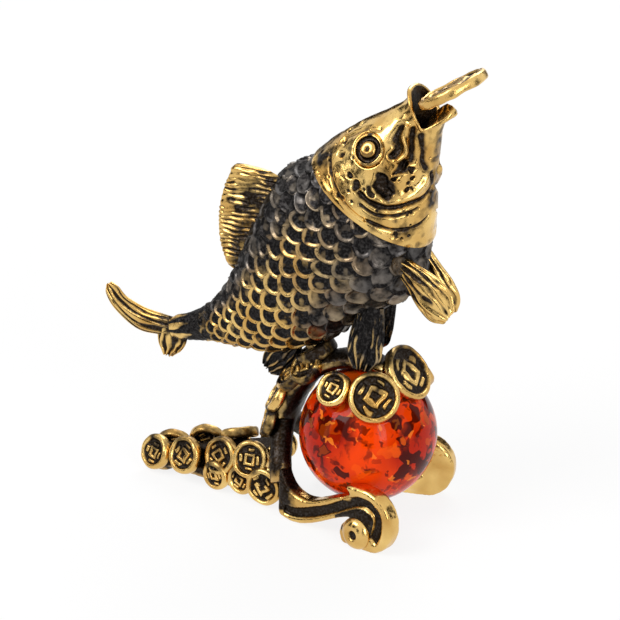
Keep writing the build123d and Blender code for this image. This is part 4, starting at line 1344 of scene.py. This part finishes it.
def build_coin(node, chance):
    """Worn coin with a rounded rim and a plain struck motif on both faces, darker towards its top where it
    stands up.
    """
    centre, facing, radius, thickness = coin_seat(node)
    inner = radius - coin_rim_width
    foot = inner - coin_wall_foot
    levels = np.concatenate([np.linspace(coin_start_radius, foot, coin_face_rows),
                             np.linspace(foot + coin_row_gap, radius, coin_rim_rows)])
    angle = ring_turns(coin_columns) + chance.uniform(0, whole_turn)
    roll = angle[0] - chance.uniform(0, whole_turn)
    first, second = face_axes(facing)
    reach, turn = np.meshgrid(levels, angle, indexing="ij")
    outwards = np.cos(turn)[..., None] * first + np.sin(turn)[..., None] * second
    place = centre + reach[..., None] * outwards
    warp = stray(place, *motif_warp)
    motif = coin_motif(reach * np.cos(turn + roll) / inner + warp[..., 0],
                       reach * np.sin(turn + roll) / inner + warp[..., 1])
    wall = ease(foot, inner + coin_wall_head, reach)
    corner = np.clip((reach - (radius - coin_edge_radius)) / coin_edge_radius, 0, 1)
    top = thickness / 2 - coin_recess * (1 - wall) + coin_motif_height * motif * (1 - wall)
    top = top - coin_edge_radius * (1 - np.sqrt(1 - corner ** 2)) + bumps(place, coin_dents)
    uneven = bumps(place, coin_out_of_round) * ease(round_inner_share * inner, radius, reach)
    place = place + outwards * uneven[..., None]
    lift = facing * top[..., None]
    points = np.concatenate([place + lift, (place - lift)[::-1]])
    lying = abs(facing[2])
    rise = outwards[..., 2] / math.sqrt(lying_margin - lying ** 2)
    # Darker towards the top of a coin that stands up
    darker_top = layer(top_darkening, rise) * ease(*upright_levels, lying)
    bright = np.clip(mix(coin_ground_wear, 1, wall) + coin_motif_wear * motif * (1 - wall), 0, 1)
    bright = bright * mix(*coin_lump_shares, soft_noise(place, *coin_lumps)) * (1 - darker_top)
    bright = bright * coin_light(node, place, lying)
    wear_and_shade = np.concatenate([bright, bright[::-1]])
    make_piece(node + "_struck", points, coin_brass, wear_and_shade, 1.0, [node])


def build_coins():
    """Every coin of the figurine."""
    chance = np.random.default_rng(coin_seed)
    for node in sorted(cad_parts):
        if "coin" in node:
            build_coin(node, chance)


# Scrolls, arch and trail, worked over from their solids
# Each row: node, voxel size, rounds of evening and of softening, growth, slot, dark and bright stands, gilt
castings = [("scroll_right", 0.11, 4, 26, 0.16, "polished_brass", (-0.08, 0.05), 1.0),
            ("scroll_left", 0.11, 4, 26, 0.16, "polished_brass", (-0.08, 0.05), 1.0),
            ("arch", 0.14, 4, 8, 0.05, "patinated_brass", (0.10, 0.36), 0.8),
            ("trail_core", 0.16, 6, 4, 0.03, "patinated_brass", (0.12, 0.40), 0.7)]
evening_pull = 0.5
evening_push = -0.52
broad_rounds = 70
broad_pull = 0.7
stand_rounds = 2
casting_bumps = [(0.06, 0.9, 19), (0.03, 0.35, 23)]
# Shades and bright faces of the scrolls
rear_shade = (0.9, scroll_rear + 3.0, scroll_rear + 0.8)
scroll_foot_levels = (0.7, 1.3)
inner_face_levels = (-0.05, -0.45)
ground_shade = (0.9, 3.10, 2.85)
ground_facing_levels = (0.55, 0.80)
ground_height_levels = (-0.5, 0.2)


def even_out(points, edges, rounds, pull):
    """Rows of numbers drawn towards the mean of their neighbours a number of times."""
    count = np.maximum(np.bincount(edges.ravel(), minlength=len(points)), 1)[:, None]
    for _ in range(rounds):
        total = np.zeros_like(points)
        for axis in range(points.shape[1]):
            total[:, axis] = np.bincount(edges[:, 0], points[edges[:, 1], axis], len(points))
            total[:, axis] += np.bincount(edges[:, 1], points[edges[:, 0], axis], len(points))
        points = points + pull * (total / count - points)
    return points


def voxel_copy(node, voxel):
    """Points, edges and faces of a solid, remade as an even mesh."""
    rough = put_in_scene(node + "_rough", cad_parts[node].data.copy())
    remesh = rough.modifiers.new("voxels", "REMESH")
    remesh.mode = "VOXEL"
    remesh.voxel_size = voxel * mm
    remesh.adaptivity = 0
    mesh = bpy.data.meshes.new_from_object(rough.evaluated_get(bpy.context.evaluated_depsgraph_get()))
    bpy.data.objects.remove(rough)
    faces = np.array([face.vertices[:] for face in mesh.polygons if len(face.vertices) == 4])
    return read_rows(mesh.vertices, "co", 3) / mm, read_rows(mesh.edges, "vertices", 2, int), faces


def point_normals(points, faces):
    """Outward normals at the points of a mesh of quads."""
    first, second, third, fourth = (points[faces[:, corner]] for corner in range(4))
    flat = np.cross(third - first, fourth - second)
    normals = np.zeros_like(points)
    for corner in range(4):
        for axis in range(3):
            normals[:, axis] += np.bincount(faces[:, corner], flat[:, axis], len(points))
    return normals / np.maximum(np.linalg.norm(normals, axis=1, keepdims=True), tiny)


def scroll_wear_and_shade(node, points, normals, wear_and_shade):
    """Wear and painted shade of a scroll: bright inside, with painted shade at its rear and on the ground
    round its knob.
    """
    ahead = points[:, 0]
    height = points[:, 2]
    outward = normals[:, 1] * np.sign(points[:, 1])
    # Painted shade at the scroll's rear, above its foot, and on the ground round its knob
    rear = layer(rear_shade, ahead) * ease(*scroll_foot_levels, height)
    setback = left_scroll_setback if node == "scroll_left" else 0
    from_knob = np.hypot(ahead - knob_ahead + setback, height - knob_height)
    ground = layer(ground_shade, from_knob) * ease(*ground_facing_levels, outward)
    ground = ground * ease(*ground_height_levels, height - knob_height)
    wear_and_shade = np.maximum(wear_and_shade, ease(*inner_face_levels, outward))
    return wear_and_shade * (1 - rear) * (1 - ground)


def build_casting(node, voxel, evening, softening, growth, slot, stand_levels, gilt):
    """Copy of a solid with softened edges, bright where it stands proud and dark in its hollows."""
    points, edges, faces = voxel_copy(node, voxel)
    for _ in range(evening):
        points = even_out(points, edges, 1, evening_pull)
        points = even_out(points, edges, 1, evening_push)
    points = even_out(points, edges, softening, evening_pull)
    normals = point_normals(points, faces)
    broad = even_out(points, edges, broad_rounds, broad_pull)
    stand = ((points - broad) * normals).sum(axis=1, keepdims=True)
    wear_and_shade = ease(*stand_levels, even_out(stand, edges, stand_rounds, evening_pull)[:, 0])
    if node.startswith("scroll"):
        wear_and_shade = scroll_wear_and_shade(node, points, normals, wear_and_shade)
    points = points + normals * (growth + bumps(points, *casting_bumps))[:, None]
    make_piece(node + "_cast", points, polished_brass, wear_and_shade, gilt, [node], faces)


# Amber ball
pole_gap = 0.01
ball_lumps = (3.0, 29)


def build_ball():
    """Polished ball, very slightly out of round as a hand-polished stone is."""
    tilts = np.linspace(pole_gap, np.pi - pole_gap, ball_grid[0])
    tilt, turn = np.meshgrid(tilts, ring_turns(ball_grid[1]), indexing="ij")
    outwards = np.stack([np.sin(tilt) * np.cos(turn), np.sin(tilt) * np.sin(turn), -np.cos(tilt)], -1)
    radius = ball_radius - ball_polish - ball_unevenness * soft_noise(outwards * ball_radius, *ball_lumps)
    points = ball_middle + outwards * radius[..., None]
    make_piece("amber_stone", points, amber, 1.0, 1.0, ["amber_ball"])


# Stage
floor_reach = 3000.0
floor_white = (0.9, 0.9, 0.9, 1)
floor_roughness = 0.9
floor_glow_share = 0.85
world_strengths = (0.45, 1.0)
camera_clip = 10.0
# Each row: name, place, size and power of a lamp
lamps = [("key_lamp", (-180.0, -260.0, 300.0), 220.0, 1.0),
         ("fill_lamp", (280.0, -160.0, 140.0), 160.0, 0.45),
         ("back_lamp", (-60.0, 260.0, 240.0), 200.0, 0.5)]
# Dark cards that give the metal something to reflect, at bearings round the figurine
card_bearings = (-150, -118, -62, -20, 25, 80, 130, 170)
card_distance = 200.0
card_width = 74.0
card_height = 240.0
card_colour = (0.012, 0.010, 0.009, 1)
sheet_corners = ((-1, -1), (1, -1), (1, 1), (-1, 1))


def add_sheet(name, middle, across, up, material):
    """Flat sheet of the stage, from its middle and half its width and height."""
    corners = np.array([middle + across * first + up * second for first, second in sheet_corners])
    mesh = bpy.data.meshes.new(name)
    mesh.from_pydata((corners * mm).tolist(), [], [(0, 1, 2, 3)])
    mesh.materials.append(material)
    sheet = put_in_scene(name, mesh)
    return sheet


def build_cards():
    """Dark cards that only reflections see."""
    for number, bearing in enumerate(card_bearings):
        name = "dark_card_" + str(number)
        angle = math.radians(bearing)
        outwards = np.array([math.cos(angle), math.sin(angle), 0.0])
        across = np.cross(-outwards, upwards)
        material, _, shader = new_material(name)
        set_sockets(shader, Base_Color=card_colour, Roughness=1.0)
        card = add_sheet(name, view_target + outwards * card_distance, across * card_width / 2,
                         upwards * card_height / 2, material)
        card.visible_camera = False
        card.visible_diffuse = False
        card.visible_shadow = False
        card.visible_transmission = False


def build_floor():
    """Wide pale floor that shows white to the camera and keeps a soft shadow."""
    material, tree, shader = new_material("pale_floor")
    set_sockets(shader, Base_Color=floor_white, Roughness=floor_roughness)
    glow = add_node(tree, "ShaderNodeEmission", Color=(1, 1, 1, 1), Strength=1.0)
    join = tree.nodes.new("ShaderNodeMixShader")
    tree.links.new(ranged(tree, seen_share(tree), (0.0, 1.0), (0.0, floor_glow_share)), join.inputs[0])
    tree.links.new(shader.outputs[0], join.inputs[1])
    tree.links.new(glow.outputs[0], join.inputs[2])
    tree.links.new(join.outputs[0], tree.nodes["Material Output"].inputs["Surface"])
    ahead = np.cross(left_side, upwards)
    add_sheet("floor", np.zeros(3), ahead * floor_reach, left_side * floor_reach, material)


def build_world():
    """White surroundings, softer as light than as they are seen."""
    world = bpy.data.worlds.new("studio")
    bpy.context.scene.world = world
    world.use_nodes = True
    tree = world.node_tree
    back = tree.nodes["Background"]
    set_sockets(back, Color=(1, 1, 1, 1))
    tree.links.new(ranged(tree, seen_share(tree), (0.0, 1.0), world_strengths), back.inputs["Strength"])


def aim(thing, place):
    """Puts a lamp or camera at a place, looking at the middle of the figurine, with its top up."""
    back = unit(place - view_target)
    right = unit(np.cross(upwards, back))
    table = np.eye(4)
    table[:3] = np.column_stack([right, np.cross(back, right), back, place * mm])
    thing.matrix_world = Matrix(table.tolist())


def build_camera():
    """Camera at the photograph's place."""
    turn = math.radians(view_turn)
    height = math.radians(view_height)
    back = np.array([math.sin(turn) * math.cos(height), -math.cos(turn) * math.cos(height), math.sin(height)])
    data = bpy.data.cameras.new("camera")
    data.sensor_width = sensor_width
    data.lens = sensor_width * focal_pixels / image_pixels
    data.clip_start = camera_clip * mm
    camera = put_in_scene("camera", data)
    aim(camera, view_target + back * view_distance)
    bpy.context.scene.camera = camera


def build_lamps():
    """Square soft lamps that point at the middle of the figurine."""
    for name, place, size, power in lamps:
        data = bpy.data.lights.new(name, "AREA")
        data.size = size * mm
        data.energy = power
        aim(put_in_scene(name, data), np.array(place))


build_body()
build_head()
build_eyes()
for paddle in paddles:
    build_paddle(*paddle)
build_dorsal()
build_tail()
build_coins()
for casting in castings:
    build_casting(*casting)
build_knobs()
build_ball()
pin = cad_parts["dowel_pin"]
pin.data.materials.clear()
pin.data.materials.append(wire_brass)

build_floor()
build_world()
build_camera()
build_lamps()
build_cards()
bpy.context.scene.view_settings.view_transform = "Standard"
